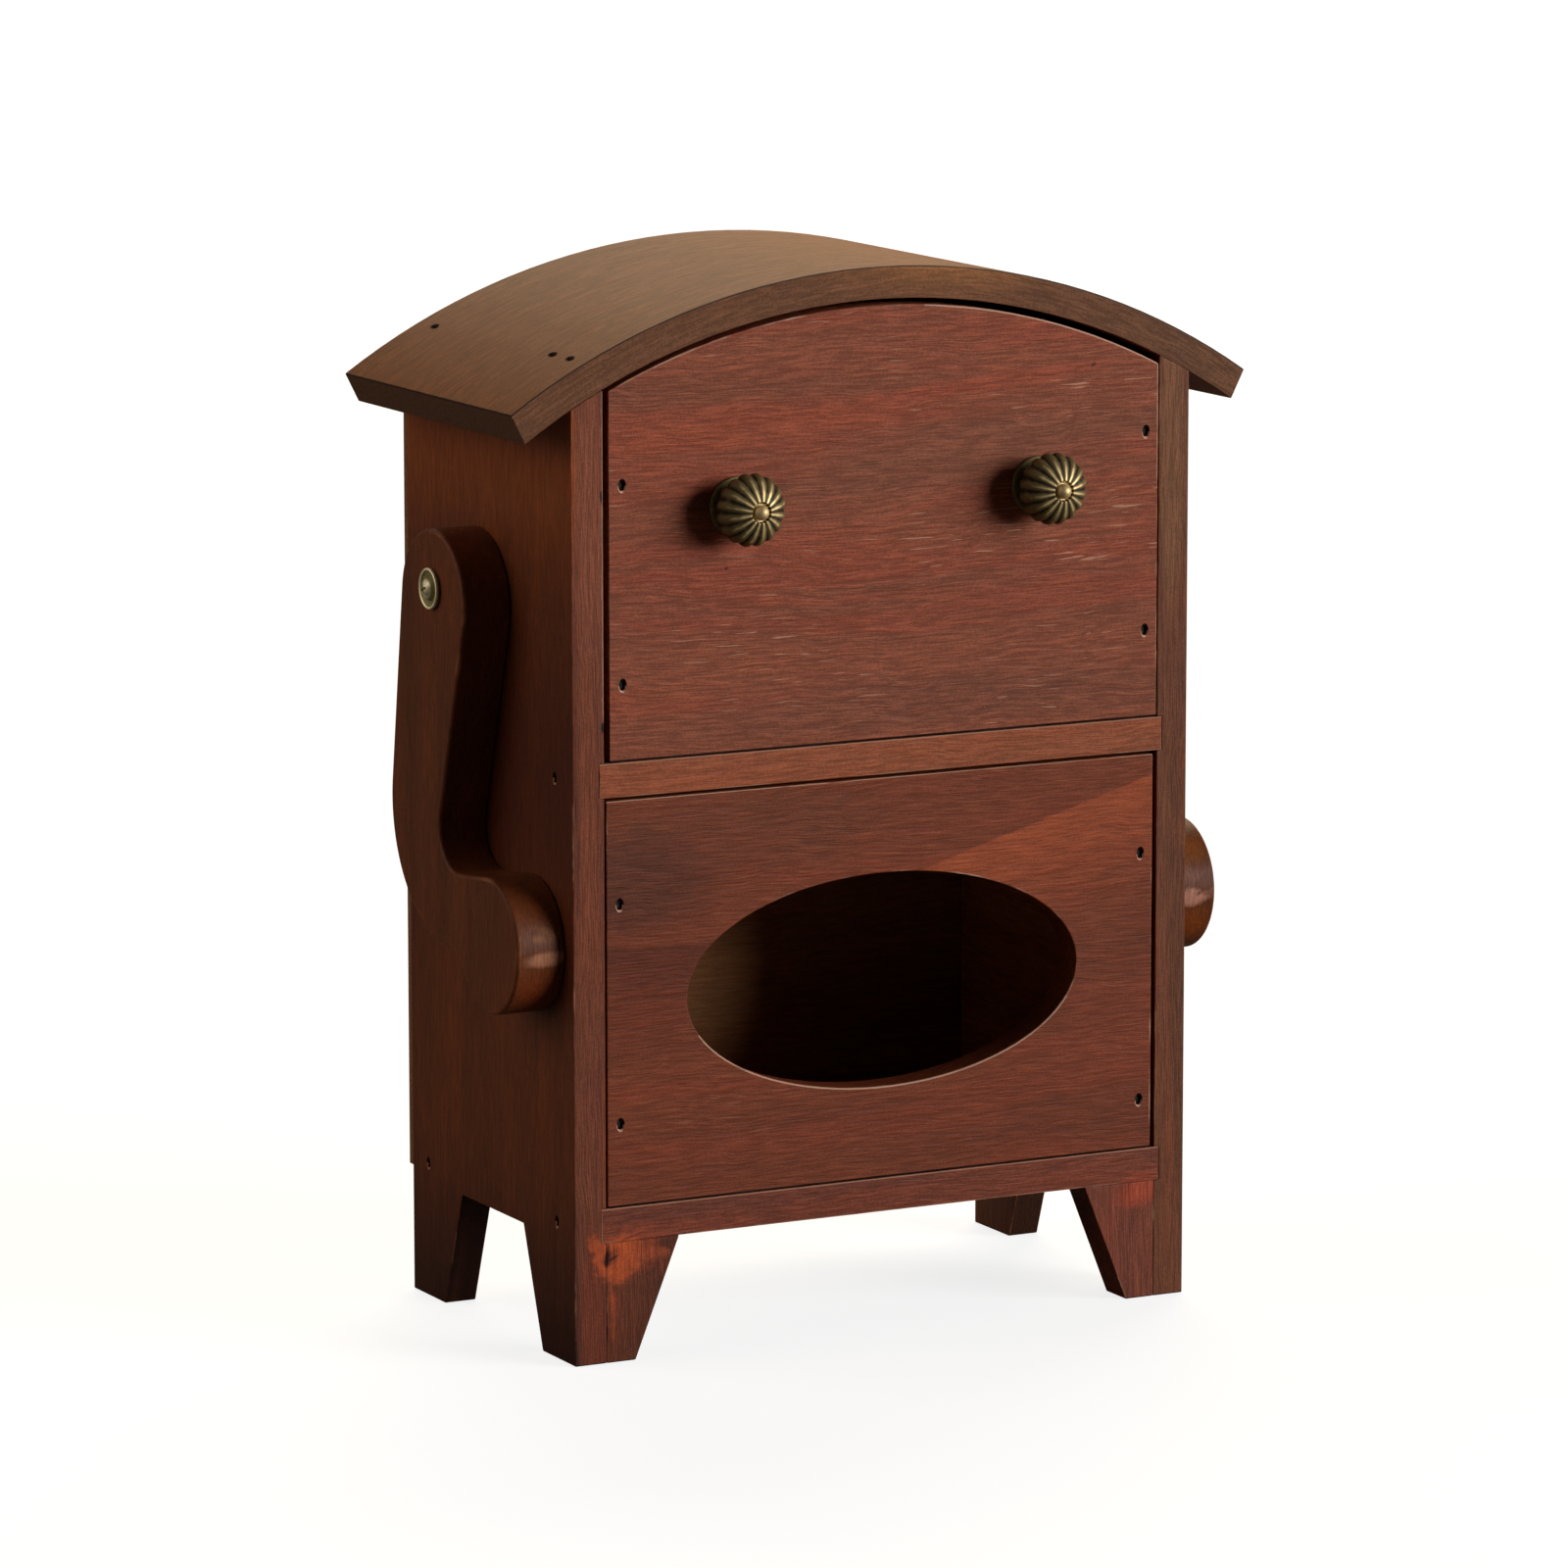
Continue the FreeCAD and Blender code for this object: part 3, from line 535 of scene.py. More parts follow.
@dataclass(frozen=True)
class WoodFinish:
    """Stain and satin varnish on one board.

    Attributes:
        label: The material's name.
        ground: Main colour.
        deep: Colour of the darker bands and pores.
        warm: Colour of the redder bands.
        seed: Metres by which the pattern is moved.
        grain: Which way the grain runs.
        bands: Strength of the broad bands.
        streaks: Strength of the fine streaks.
        flecks: Strength of the light torn flecks.
        fleck: Their colour.
        worn: Colour of rubbed edges.
        wear: How much of the edges is rubbed.
        roughness: The varnish's roughness.
        gloss: The varnish's specular level.
        bump: Strength of the grain's relief.
        relief: Depth of the grain in metres.
        sawn: What red, green and blue are multiplied by on sawn edges.
        patches: Local changes of stain, and of painted light and shade.
    """

    label: str
    ground: Colour
    deep: Colour
    warm: Colour
    seed: float
    grain: Grain = Grain.ACROSS
    bands: float = 0.5
    streaks: float = 0.9
    flecks: float = 0.0
    fleck: Colour = (184, 132, 106)
    worn: Colour = (160, 112, 88)
    wear: float = 0.45
    roughness: float = 0.5
    gloss: float = 0.12
    bump: float = 0.6
    relief: float = 0.3 * MM
    sawn: Triple = (1.0, 1.0, 1.0)
    patches: tuple[Patch, ...] = ()

    def along_grain(self, bench: MaterialBench) -> Socket:
        """Coordinates with X along the grain.

        Args:
            bench: The material's bench.

        Returns:
            Metres along and across the grain, moved by the seed.
        """
        x, y, z = parts = bench.separate(bench.place)
        if self.grain is Grain.BENT:
            up = bench.less(z, Roof.centre_height())
            angle = bench.math("ARCTAN2", x, up)
            radius = bench.vector_math("LENGTH", bench.combine(x, 0.0, up))
            turned = bench.combine(bench.times(angle, Roof.OUTER_RADIUS), y, radius)
        else:
            turned = bench.combine(*(parts[axis] for axis in self.grain.value))
        return bench.vector_math("ADD", turned, (self.seed, self.seed * 0.7, self.seed * 1.3))

    @functools.cache
    def material(self) -> bpy.types.Material:
        """Build the finish's material once.

        Returns:
            The material.
        """
        bench = MaterialBench(self.label)
        grain = bench.group(
            wood_grain(), Vector=self.along_grain(bench), Ground=linear(self.ground),
            Deep=linear(self.deep), Warm=linear(self.warm), Fleck=linear(self.fleck),
            Bands=self.bands, Streaks=self.streaks, Flecks=self.flecks)
        edges = bench.vector_math("MULTIPLY", grain["Color"], self.sawn)
        color = bench.mix(bench.mark(SAWN), grain["Color"], edges)
        for patch in self.patches:
            color = patch.lay(bench, color, grain["Shade"])
        # The wear mark also carries painted highlights and painted shade.
        worn = bench.group(edge_wear_and_shade(), Vector=bench.place, Color=color, Worn=linear(self.worn),
                           Wear=bench.mark(WEAR_AND_SHADE), Amount=self.wear)
        bench.shade({"Base Color": worn["Color"], "Specular IOR Level": self.gloss,
                     "Roughness": bench.less(self.roughness, bench.times(grain["Relief"], 0.12))})
        bench.roughen(grain["Relief"], self.bump, self.relief)
        return bench.material


@dataclass(frozen=True)
class BrassFinish:
    """Aged brass, or plated steel, with a patina that follows the form.

    Attributes:
        label: The material's name.
        dark: Colour in the hollows.
        olive: Colour between them.
        bright: Colour of the rubbed high spots.
        height: Height where the mesh has no crest mark.
        follows_crest: Whether the crest mark gives the height.
        pitting: Strength of the fine pits.
        pit_depth: Their depth in metres.
    """

    label: str
    dark: Colour
    olive: Colour
    bright: Colour
    height: float = 0.6
    follows_crest: bool = True
    pitting: float = 0.12
    pit_depth: float = 0.1 * MM

    @functools.cache
    def material(self) -> bpy.types.Material:
        """Build the finish's material once.

        Returns:
            The material.
        """
        bench = MaterialBench(self.label)
        height = bench.mark(CREST) if self.follows_crest else self.height
        patina = bench.group(brass_patina(), Vector=bench.place, Height=height, Dark=linear(self.dark),
                             Olive=linear(self.olive), Bright=linear(self.bright))
        bench.shade({"Base Color": patina["Color"], "Metallic": patina["Metallic"],
                     "Roughness": patina["Roughness"]})
        bench.roughen(bench.noise(bench.place, (1500, 1500, 1500), 3), self.pitting, self.pit_depth)
        return bench.material


def near_front(reach: float, *rows: tuple) -> tuple[Patch, ...]:
    """Make patches, each row its values in order, that stay near the fronts' plane."""
    return tuple(Patch(*row, reach=reach) for row in rows)


def joint_line(x: float, low: float, high: float) -> Patch:
    """Make a tall narrow patch, for stain pooled along an upright joint."""
    return Patch((x, (low + high) / 2), (0.55, (high - low) / 2), 0, (34, 15, 10), 0.85, 0.5)


FOOT_KNOT = near_front(
    24,
    ((-98, 38), (20, 11), 4, (132, 58, 34), 0.6, 0.9, 1.5),
    ((-106, 38), (11, 11.5), 0, (172, 76, 34), 0.8, 0.55, 1.7),
    ((-91, 37.5), (8, 4.5), 8, (160, 72, 38), 0.6, 0.7, 1.7),
    ((-105.8, 20), (2.6, 13), 0, (150, 66, 34), 0.6, 0.8, 1.8),
    ((-106.3, 38), (4.6, 4.2), 20, (96, 40, 20), 0.8, 0.8, 1.8),
    ((-107.6, 38.5), (1.3, 6.2), -8, (34, 14, 10), 0.95, 0.7, 1.6),
    ((-105.4, 36.8), (3.0, 0.9), 24, (40, 16, 10), 0.85, 0.8, 1.2),
    ((-99, 43.5), (6.5, 0.7), 14, (78, 34, 20), 0.6, 0.8, 1.2))
BRACKET_GLOW = near_front(
    24,
    ((101, 39), (14, 8), 10, (158, 66, 40), 0.75, 0.8, 0.9),
    ((88, 27), (9, 12), 0, (130, 60, 42), 0.4, 0.9, 0.9))
UPPER_FRONT = WoodFinish(
    "StainUpperFront", ground=(128, 67, 44), deep=(112, 61, 41), warm=(139, 62, 39), seed=0.31,
    bands=0.55, streaks=1.3, flecks=0.8, wear=0.62, worn=(186, 142, 118),
    patches=(
        Patch((-50, 320), (88, 8), 3.6, (142, 65, 39), 0.4),
        Patch((42, 331), (66, 4), 4.5, (146, 64, 40), 0.45),
        Patch((30, 306), (98, 15), 3, (116, 70, 49), 0.4),
        Patch((-74, 266), (40, 24), 2, (132, 60, 40), 0.3),
        Patch((10, 222), (124, 13), 2, (106, 60, 43), 0.45),
        Patch((-61.5, 272.6), (1.0, 0.8), 0, (44, 20, 14), 0.8, 0.7, 1.2),
        Patch((81.6, 334.5), (1.3, 0.7), 30, (54, 24, 16), 0.7, 0.7, 1.2),
    ))
LOWER_FRONT = WoodFinish(
    "StainLowerFront", ground=(112, 53, 29), deep=(96, 45, 25), warm=(123, 53, 29), seed=1.13,
    streaks=1.0, flecks=0.12, wear=0.5, worn=(182, 138, 114),
    patches=(
        Patch((-58, 180), (80, 20), 2, (100, 52, 32), 0.6),
        Patch((-100, 166), (46, 24), 0, (82, 41, 25), 0.8),
        Patch((61.8, 176.2), (60, 42), 16, (147, 69, 36), 0.85, 0.025, 0.02, PatchKind.SLOPE),
        Patch((-96, 145.5), (40, 44), -1, (86, 36, 18), 0.8, 0.05, 0.03, PatchKind.SLOPE),
        Patch((92, 117), (24, 60), -1.5, (121, 56, 33), 0.6, 0.03, 0.03, PatchKind.SLOPE),
    ))
DIVIDER = WoodFinish(
    "StainDivider", ground=(136, 73, 45), deep=(118, 63, 40), warm=(144, 73, 42), seed=2.4,
    streaks=1.1, flecks=0.15, wear=0.75, patches=(joint_line(-110, 197, 208.5),))
BOTTOM = WoodFinish(
    "StainBottomBoard", ground=(112, 55, 37), deep=(92, 45, 30), warm=(124, 57, 35), seed=3.3,
    bands=0.6, streaks=1.1, flecks=0.1, wear=0.9,
    patches=(*FOOT_KNOT, *BRACKET_GLOW, joint_line(-110, 42, 54)))
# The left side's stain is darker than the right side's, partly as painted shade for the side that faces
# away from the window light.
LEFT_SIDE = WoodFinish(
    "StainLeftSideWithPaintedShade", ground=(96, 46, 22), deep=(77, 38, 18), warm=(110, 52, 22), seed=4.2,
    grain=Grain.UPRIGHT, wear=0.4, sawn=(1.25, 1.38, 2.1),
    patches=(
        # Painted shade: darker across the side's middle.
        Patch((-120, 200), (4, 80), 0, (64, 23, 9), 0.7, 1.0, 0.2),
        # Painted light: lighter and warmer at the side's top, under the eave.
        Patch((-120, 315), (3.5, 55), 0, (142, 68, 24), 0.75, 1.0, 0.3),
        # Painted shade: darker round the feet, in these two patches.
        Patch((-120, 0), (4, 74), 0, (40, 16, 8), 0.9, 1.0, 0.2),
        Patch((-112, 0), (8, 64), 0, (50, 20, 10), 0.85, 0.9, 0.2),
        # Painted light: the first row lightens the top of the front edge, under the eave.
        *near_front(8, ((-113, 296), (6.4, 66), 0, (124, 66, 43), 0.85, 0.5, 0.2),
                    ((-113, 14), (6.4, 44), 0, (105, 48, 29), 0.9, 0.5, 0.2)),
        *FOOT_KNOT,
        # A light line on the inner arris beside the gap: wear with a painted highlight. Then two dark
        # chips.
        *near_front(8, ((-108.3, 276), (0.55, 68), 0, (150, 110, 88), 0.75, 0.5, 1.4),
                    ((-108.5, 300.0), (1.0, 3.0), 4, (16, 7, 5), 0.95, 0.6, 0.6),
                    ((-108.5, 221.1), (1.0, 2.6), -4, (16, 7, 5), 0.95, 0.6, 0.6)),
    ))
RIGHT_SIDE = WoodFinish(
    "StainRightSide", ground=(98, 56, 38), deep=(80, 46, 30), warm=(110, 57, 36), seed=5.7,
    grain=Grain.UPRIGHT, bands=0.6, wear=0.4, sawn=(1.16, 1.16, 1.05),
    # Painted light: lighter at the top of the front edge, under the eave.
    patches=near_front(8, ((113, 300), (6.4, 66), 0, (118, 77, 50), 0.8, 0.5, 0.2)))
LEFT_BRACKET = WoodFinish(
    "StainLeftBracket", ground=(89, 43, 24), deep=(71, 34, 20), warm=(104, 48, 25), seed=6.1,
    grain=Grain.UPRIGHT, bands=0.6, streaks=1.1, wear=0.6, patches=(*FOOT_KNOT, joint_line(-108, 1, 33)))
RIGHT_BRACKET = WoodFinish(
    "StainRightBracket", ground=(122, 63, 45), deep=(98, 50, 36), warm=(138, 64, 42), seed=7.9,
    grain=Grain.UPRIGHT, bands=0.7, streaks=1.0, wear=0.6, patches=BRACKET_GLOW)
ROOF = WoodFinish(
    "StainRoofWithPaintedSheen", ground=(115, 66, 30), deep=(104, 60, 28), warm=(122, 66, 30), seed=8.8,
    grain=Grain.BENT, bands=0.3, streaks=1.2, wear=0.35, gloss=0.1, worn=(128, 78, 46), bump=0.25,
    sawn=(0.75, 0.92, 1.6),
    patches=(
        # Painted sheen: a lighter, yellower patch over the crown.
        Patch((30, 372), (76, 14), 0, (142, 91, 50), 0.75, 1.0, 0.2),
        Patch((-81, 359.6), (2.8, 2.8), 18, (22, 12, 7), 0.95, 0.5, 0.9, reach=2.6, plane=78.25),
        Patch((-50.5, 367.8), (1.1, 1.6), 12, (40, 22, 12), 0.85, 0.5, 0.9, reach=1.4, plane=78.25),
    ))
ARM = WoodFinish(
    "StainArmWithPaintedHighlight", ground=(97, 49, 24), deep=(77, 39, 18), warm=(111, 55, 26), seed=9.4,
    grain=Grain.UPRIGHT, streaks=0.7, wear=0.5, roughness=0.45, worn=(132, 80, 52), bump=0.3,
    patches=(
        Patch((-129, 131), (13, 11), 0, (120, 50, 22), 0.65, 0.9, 0.3, reach=12, plane=-44),
        Patch((-128, 150), (9, 5), 0, (134, 84, 42), 0.65, 0.9, 2.6, reach=12, plane=-45),
        # A light band across the left fist's front: painted highlight, with wear.
        Patch((-127.5, 142), (11, 3.6), 3, (168, 112, 84), 0.7, 0.5, 0.6, reach=12, plane=-46.8),
        Patch((129.5, 130), (13, 11), 0, (124, 60, 22), 0.65, 0.9, 0.3, reach=12, plane=-44),
        Patch((129.5, 157), (12, 7), 0, (128, 72, 26), 0.6, 0.9, 0.8, reach=14, plane=-41),
        Patch((129.5, 148), (9, 4), 0, (112, 66, 46), 0.75, 0.8, 2.4, reach=12, plane=-45),
        # The same band on the right fist: painted highlight, with wear.
        Patch((128.5, 140.8), (12, 4), 2, (172, 120, 100), 0.8, 0.6, 1.6, reach=12, plane=-46.8),
        Patch((131.5, 142), (1.6, 1.1), 20, (88, 46, 34), 0.8, 0.7, 1.4, reach=6, plane=-46.8),
    ))
INSIDE = WoodFinish(
    "StainInside", ground=(160, 108, 68), deep=(132, 86, 54), warm=(168, 110, 68), seed=10.2,
    grain=Grain.DEEP, streaks=0.6, wear=0.2, roughness=0.6, gloss=0.1)
INSIDE_BACK = replace(INSIDE, label="StainInsideBack", grain=Grain.ACROSS, seed=11.5)
PLY = WoodFinish(
    "StainedPlywood", ground=(120, 80, 54), deep=(96, 62, 42), warm=(132, 86, 56), seed=12.6,
    bands=0.4, streaks=0.8, flecks=0.2, wear=0.3, roughness=0.6)
KNOB_BRASS = BrassFinish("AgedBrassKnob", dark=(34, 25, 12), olive=(108, 91, 52), bright=(216, 188, 134))
CUP_BRASS = BrassFinish("AgedBrassCup", dark=(48, 40, 22), olive=(138, 126, 80), bright=(244, 232, 196))
BRAD_STEEL = BrassFinish("DarkenedBradSteel", dark=(14, 8, 6), olive=(34, 22, 17),
                         bright=(110, 100, 92), height=0.15, follows_crest=False)


# ---- modelling by operators ----

def deselect_all() -> None:
    """Leave nothing selected."""
    bpy.ops.object.select_all(action="DESELECT")


def select_all() -> None:
    """Select the whole mesh in edit mode."""
    bpy.ops.mesh.select_all(action="SELECT")


def pick(piece: Piece) -> None:
    """Make a piece the only selected and active object.

    Args:
        piece: The piece.
    """
    deselect_all()
    piece.select_set(True)
    bpy.context.view_layer.objects.active = piece


@contextmanager
def editing(piece: Piece) -> Iterator[Piece]:
    """Edit a piece, and leave edit mode afterwards.

    Args:
        piece: The piece.

    Yields:
        The piece in edit mode.
    """
    pick(piece)
    bpy.ops.object.mode_set(mode="EDIT")
    try:
        yield piece
    finally:
        bpy.ops.object.mode_set(mode="OBJECT")


def select(piece: Piece, kind: str, wanted: Callable[[Any], bool]) -> int:
    """Select some vertices or edges in edit mode.

    Args:
        piece: The piece being edited.
        kind: VERT or EDGE.
        wanted: Says whether a vertex or an edge is chosen.

    Returns:
        How many are selected.
    """
    bpy.ops.mesh.select_mode(type=kind)
    bpy.ops.mesh.select_all(action="DESELECT")
    mesh = bmesh.from_edit_mesh(piece.data)
    chosen = [part for part in (mesh.verts if kind == "VERT" else mesh.edges) if wanted(part)]
    for part in chosen:
        part.select_set(True)
    mesh.select_flush_mode()
    bmesh.update_edit_mesh(piece.data)
    return len(chosen)


def apply(piece: Piece, kind: str, **settings: Any) -> None:
    """Add a modifier to a piece and apply it.

    Args:
        piece: The piece.
        kind: The modifier's type.
        **settings: Its properties.
    """
    pick(piece)
    modifier = piece.modifiers.new(kind.title(), kind)
    for name, value in settings.items():
        setattr(modifier, name, value)
    bpy.ops.object.modifier_apply(modifier=modifier.name)


def cut(piece: Piece, cutter: Piece) -> None:
    """Cut one piece out of another, and remove the cutter."""
    apply(piece, "BOOLEAN", operation="DIFFERENCE", solver="EXACT", object=cutter)
    bpy.data.objects.remove(cutter)


def mark_faces(piece: Piece, name: str, rule: Callable[[Face], float]) -> None:
    """Store a number on each face of a piece."""
    marks = piece.data.attributes.get(name) or piece.data.attributes.new(name, "FLOAT", "FACE")
    marks.data.foreach_set("value", [float(rule(face)) for face in piece.data.polygons])


def mark_crests(piece: Piece, rise: Callable[[Vector], float]) -> None:
    """Store how high each point of a brass piece stands, for its patina."""
    marks = piece.data.attributes.new(CREST, "FLOAT", "POINT")
    marks.data.foreach_set("value", [rise(vertex.co) for vertex in piece.data.vertices])


def copy_of(node: str, name: str) -> Piece:
    """Copy a node's mesh into a new piece with joined vertices and whole flat faces.

    Args:
        node: The frame's node.
        name: The new piece's name.

    Returns:
        The piece.
    """
    piece = bpy.data.objects.new(name, frame["nodes"][node].data.copy())
    piece.data.name = name
    piece.data.materials.clear()
    bpy.context.scene.collection.objects.link(piece)
    with editing(piece):
        select_all()
        bpy.ops.mesh.remove_doubles(threshold=WELD)
        bpy.ops.mesh.customdata_custom_splitnormals_clear()
        bpy.ops.mesh.dissolve_limited(angle_limit=math.radians(FLAT))
    return piece


def ease_edges(piece: Piece, width: float, shortest: float) -> None:
    """Round over a board's long sharp edges and mark the new faces as worn.

    Args:
        piece: The board.
        width: Width of the easing.
        shortest: Edges of loops shorter than this keep sharp, such as those of brad holes.
    """
    piece.data.attributes.new("bevel_weight_edge", "FLOAT", "EDGE")
    mesh = bmesh.new()
    mesh.from_mesh(piece.data)
    layer = mesh.edges.layers.float["bevel_weight_edge"]
    sharp = [edge for edge in mesh.edges
             if len(edge.link_faces) == 2 and edge.calc_face_angle() > math.radians(SHARP_EDGE)]
    for run in connected_runs(sharp):
        points = [vertex.co for edge in run for vertex in edge.verts]
        spread = max((p - points[0]).length for p in points)
        for edge in run:
            edge[layer] = 1.0 if spread > shortest else 0.0
    mesh.to_mesh(piece.data)
    mesh.free()
    filler = bpy.data.materials.get("Unfinished") or bpy.data.materials.new("Unfinished")
    piece.data.materials.append(filler)
    piece.data.materials.append(filler)
    piece.data.polygons.foreach_set("material_index", [0] * len(piece.data.polygons))
    apply(piece, "BEVEL", width=width, segments=2, limit_method="WEIGHT", material=1,
          use_clamp_overlap=False, miter_outer="MITER_ARC")
    mark_faces(piece, WEAR_AND_SHADE, lambda face: face.material_index == 1)
    piece.data.polygons.foreach_set("material_index", [0] * len(piece.data.polygons))
    piece.data.materials.clear()


def connected_runs(edges: Sequence[bmesh.types.BMEdge]) -> list[list[bmesh.types.BMEdge]]:
    """Sort edges into runs that share vertices.

    Args:
        edges: Edges of one mesh.

    Returns:
        One list for each run.
    """
    left = set(edges)
    runs = []
    while left:
        run = [left.pop()]
        for edge in run:
            for vertex in edge.verts:
                for other in vertex.link_edges:
                    if other in left:
                        left.remove(other)
                        run.append(other)
        runs.append(run)
    return runs


def smooth(piece: Piece, angle: float = 35.0) -> None:
    """Shade a piece smooth, with its flat faces kept flat.

    Args:
        piece: The piece.
        angle: Degrees up to which an edge is smooth.
    """
    pick(piece)
    bpy.ops.object.shade_smooth_by_angle(angle=math.radians(angle))
    apply(piece, "WEIGHTED_NORMAL", mode="FACE_AREA", weight=50, keep_sharp=True)


def dress(piece: Piece, material: bpy.types.Material, body: str, slot: str,
          *nodes: str) -> Piece:
    """Give a piece its finish, its body and the nodes that it stands for.

    Args:
        piece: The finished mesh.
        material: Its material.
        body: The body that it rides on.
        slot: The record's material slot; not used.
        *nodes: Nodes that it replaces.

    Returns:
        The piece.
    """
    piece.data.materials.clear()
    piece.data.materials.append(material)
    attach(piece, body)
    if nodes:
        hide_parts(*nodes)
    LOG.info("%s: %d faces on %s", piece.name, len(piece.data.polygons), body)
    return piece


def join(pieces: Sequence[Piece], name: str) -> Piece:
    """Join pieces into the first one.

    Args:
        pieces: The pieces.
        name: Their new name.

    Returns:
        The joined piece.
    """
    deselect_all()
    for piece in pieces:
        piece.select_set(True)
    bpy.context.view_layer.objects.active = pieces[0]
    if len(pieces) > 1:
        bpy.ops.object.join()
    pieces[0].name = pieces[0].data.name = name
    return pieces[0]


def turn_on_lathe(name: str, profile: Sequence[tuple[float, float]], steps: int,
                  ring: bool = False) -> Piece:
    """Turn a piece about Z, ring by ring.

    Args:
        name: The piece's name.
        profile: Radius and height of each ring, in millimetres. A solid's run starts and
            ends on the axis, and a ring's run is closed.
        steps: Vertices round each ring.
        ring: Whether the piece is a ring with a hole.

    Returns:
        The piece, standing at the origin.
    """
    rings = list(profile) + [profile[0]] if ring else list(profile[1:-1])
    first_radius, first_height = rings[0]
    deselect_all()
    bpy.ops.mesh.primitive_circle_add(
        vertices=steps, radius=first_radius * MM, location=(0, 0, first_height * MM),
        fill_type="NOTHING" if ring else "TRIFAN")
    piece = bpy.context.active_object
    piece.name = piece.data.name = name
    bpy.ops.object.transform_apply(location=True)
    with editing(piece):
        if not ring:
            lift = (profile[0][1] - first_height) * MM
            if select(piece, "VERT", lambda v: v.co.xy.length < NEAR) and lift:
                bpy.ops.transform.translate(value=(0, 0, lift))
        radius, height = rings[0]
        select(piece, "VERT", lambda v: v.co.xy.length > NEAR)
        for next_radius, next_height in rings[1:]:
            rise = (next_height - height) * MM
            bpy.ops.mesh.extrude_edges_move(TRANSFORM_OT_translate={"value": (0, 0, rise)})
            scale = next_radius / radius
            bpy.ops.transform.resize(value=(scale, scale, 1), center_override=(0, 0, next_height * MM))
            radius, height = next_radius, next_height
        if not ring:
            bpy.ops.mesh.extrude_edges_move(
                TRANSFORM_OT_translate={"value": (0, 0, (profile[-1][1] - height) * MM)})
            bpy.ops.mesh.merge(type="CENTER")
        select_all()
        bpy.ops.mesh.remove_doubles(threshold=WELD)
        bpy.ops.mesh.normals_make_consistent(inside=False)
    return piece


def settle(piece: Piece, place: Matrix) -> Piece:
    """Put a piece at a place, with its object left at the origin.

    Args:
        piece: A piece that stands at the origin.
        place: Where it goes.

    Returns:
        The piece.
    """
    piece.matrix_world = place
    pick(piece)
    bpy.ops.object.transform_apply(location=True, rotation=True, scale=True)
    return piece


def stand(piece: Piece, place: Vector, outward: Vector, spin: float) -> Piece:
    """Turn a piece's Z to a direction and move it to a place."""
    turn = outward.to_track_quat("Z", "Y").to_matrix().to_4x4()
    return settle(piece, Matrix.Translation(place) @ turn @ Matrix.Rotation(math.radians(spin), 4, "Z"))


def twin(piece: Piece, name: str) -> Piece:
    """Copy a piece with its own mesh.

    Args:
        piece: The piece.
        name: The copy's name.

    Returns:
        The copy.
    """
    other = bpy.data.objects.new(name, piece.data.copy())
    bpy.context.scene.collection.objects.link(other)
    return other


def loose_boxes(node: str) -> list[tuple[Vector, Vector]]:
    """The boxes of a node's separate solids, lowest and highest corners.

    Args:
        node: The frame's node.

    Returns:
        One pair for each solid, ordered by X, then Y, then Z.
    """
    copy = copy_of(node, "Measured")
    with editing(copy):
        select_all()
        bpy.ops.mesh.separate(type="LOOSE")
    parts = [o for o in bpy.context.selected_objects if o.type == "MESH"]
    boxes = []
    for part in parts:
        corners = [vertex.co.copy() for vertex in part.data.vertices]
        boxes.append((Vector(map(min, zip(*corners))), Vector(map(max, zip(*corners)))))
        bpy.data.objects.remove(part)
    return sorted(boxes, key=lambda box: [round(value, 4) for value in box[0]])


def joint_place(name: str) -> Vector:
    """Where a joint's axis sits."""
    return Vector(next(joint["pos_m"] for joint in frame["joints"] if joint["name"] == name))


# ---- boards ----

@dataclass(frozen=True)
class BoardPlan:
    """One board of a sub-assembly.

    Attributes:
        node: The frame's node that it stands for.
        name: The piece's name.
        finish: Its finish.
        slot: Its material slot.
        brads: The node of the brads that are driven into it.
        rubbed_and_highlit: Says at which places in millimetres its eased edges are worn most and carry a
            painted highlight.
        darkening: Gives how dark it is at a place in millimetres, from 0 to 1: painted shade in gaps,
            notches, under feet and on the roof's end, and the dark lines round the roof's top.
    """

    node: str
    name: str
    finish: WoodFinish
    slot: str = "stained_wood"
    brads: str = ""
    rubbed_and_highlit: Callable[[Vector], bool] | None = None
    pooled: Callable[[Vector], float] | None = None

    def wear(self, place: Vector, eased: float) -> float:
        """Find how worn the board is at a place, with its painted highlight and painted shade.

        Args:
            place: The place in millimetres.
            eased: 1 on an eased edge, and 0 elsewhere.

        Returns:
            The wear, below 0 where stain has pooled.
        """
        # Painted shade comes first; the most worn edges that catch the light get wear and a painted
        # highlight.
        pooled = self.pooled(place) if self.pooled else 0.0
        rubbed_and_highlit = RUBBED_AND_HIGHLIT if self.rubbed_and_highlit and self.rubbed_and_highlit(place) else 1.0
        return -pooled if pooled > 0 else eased * rubbed_and_highlit


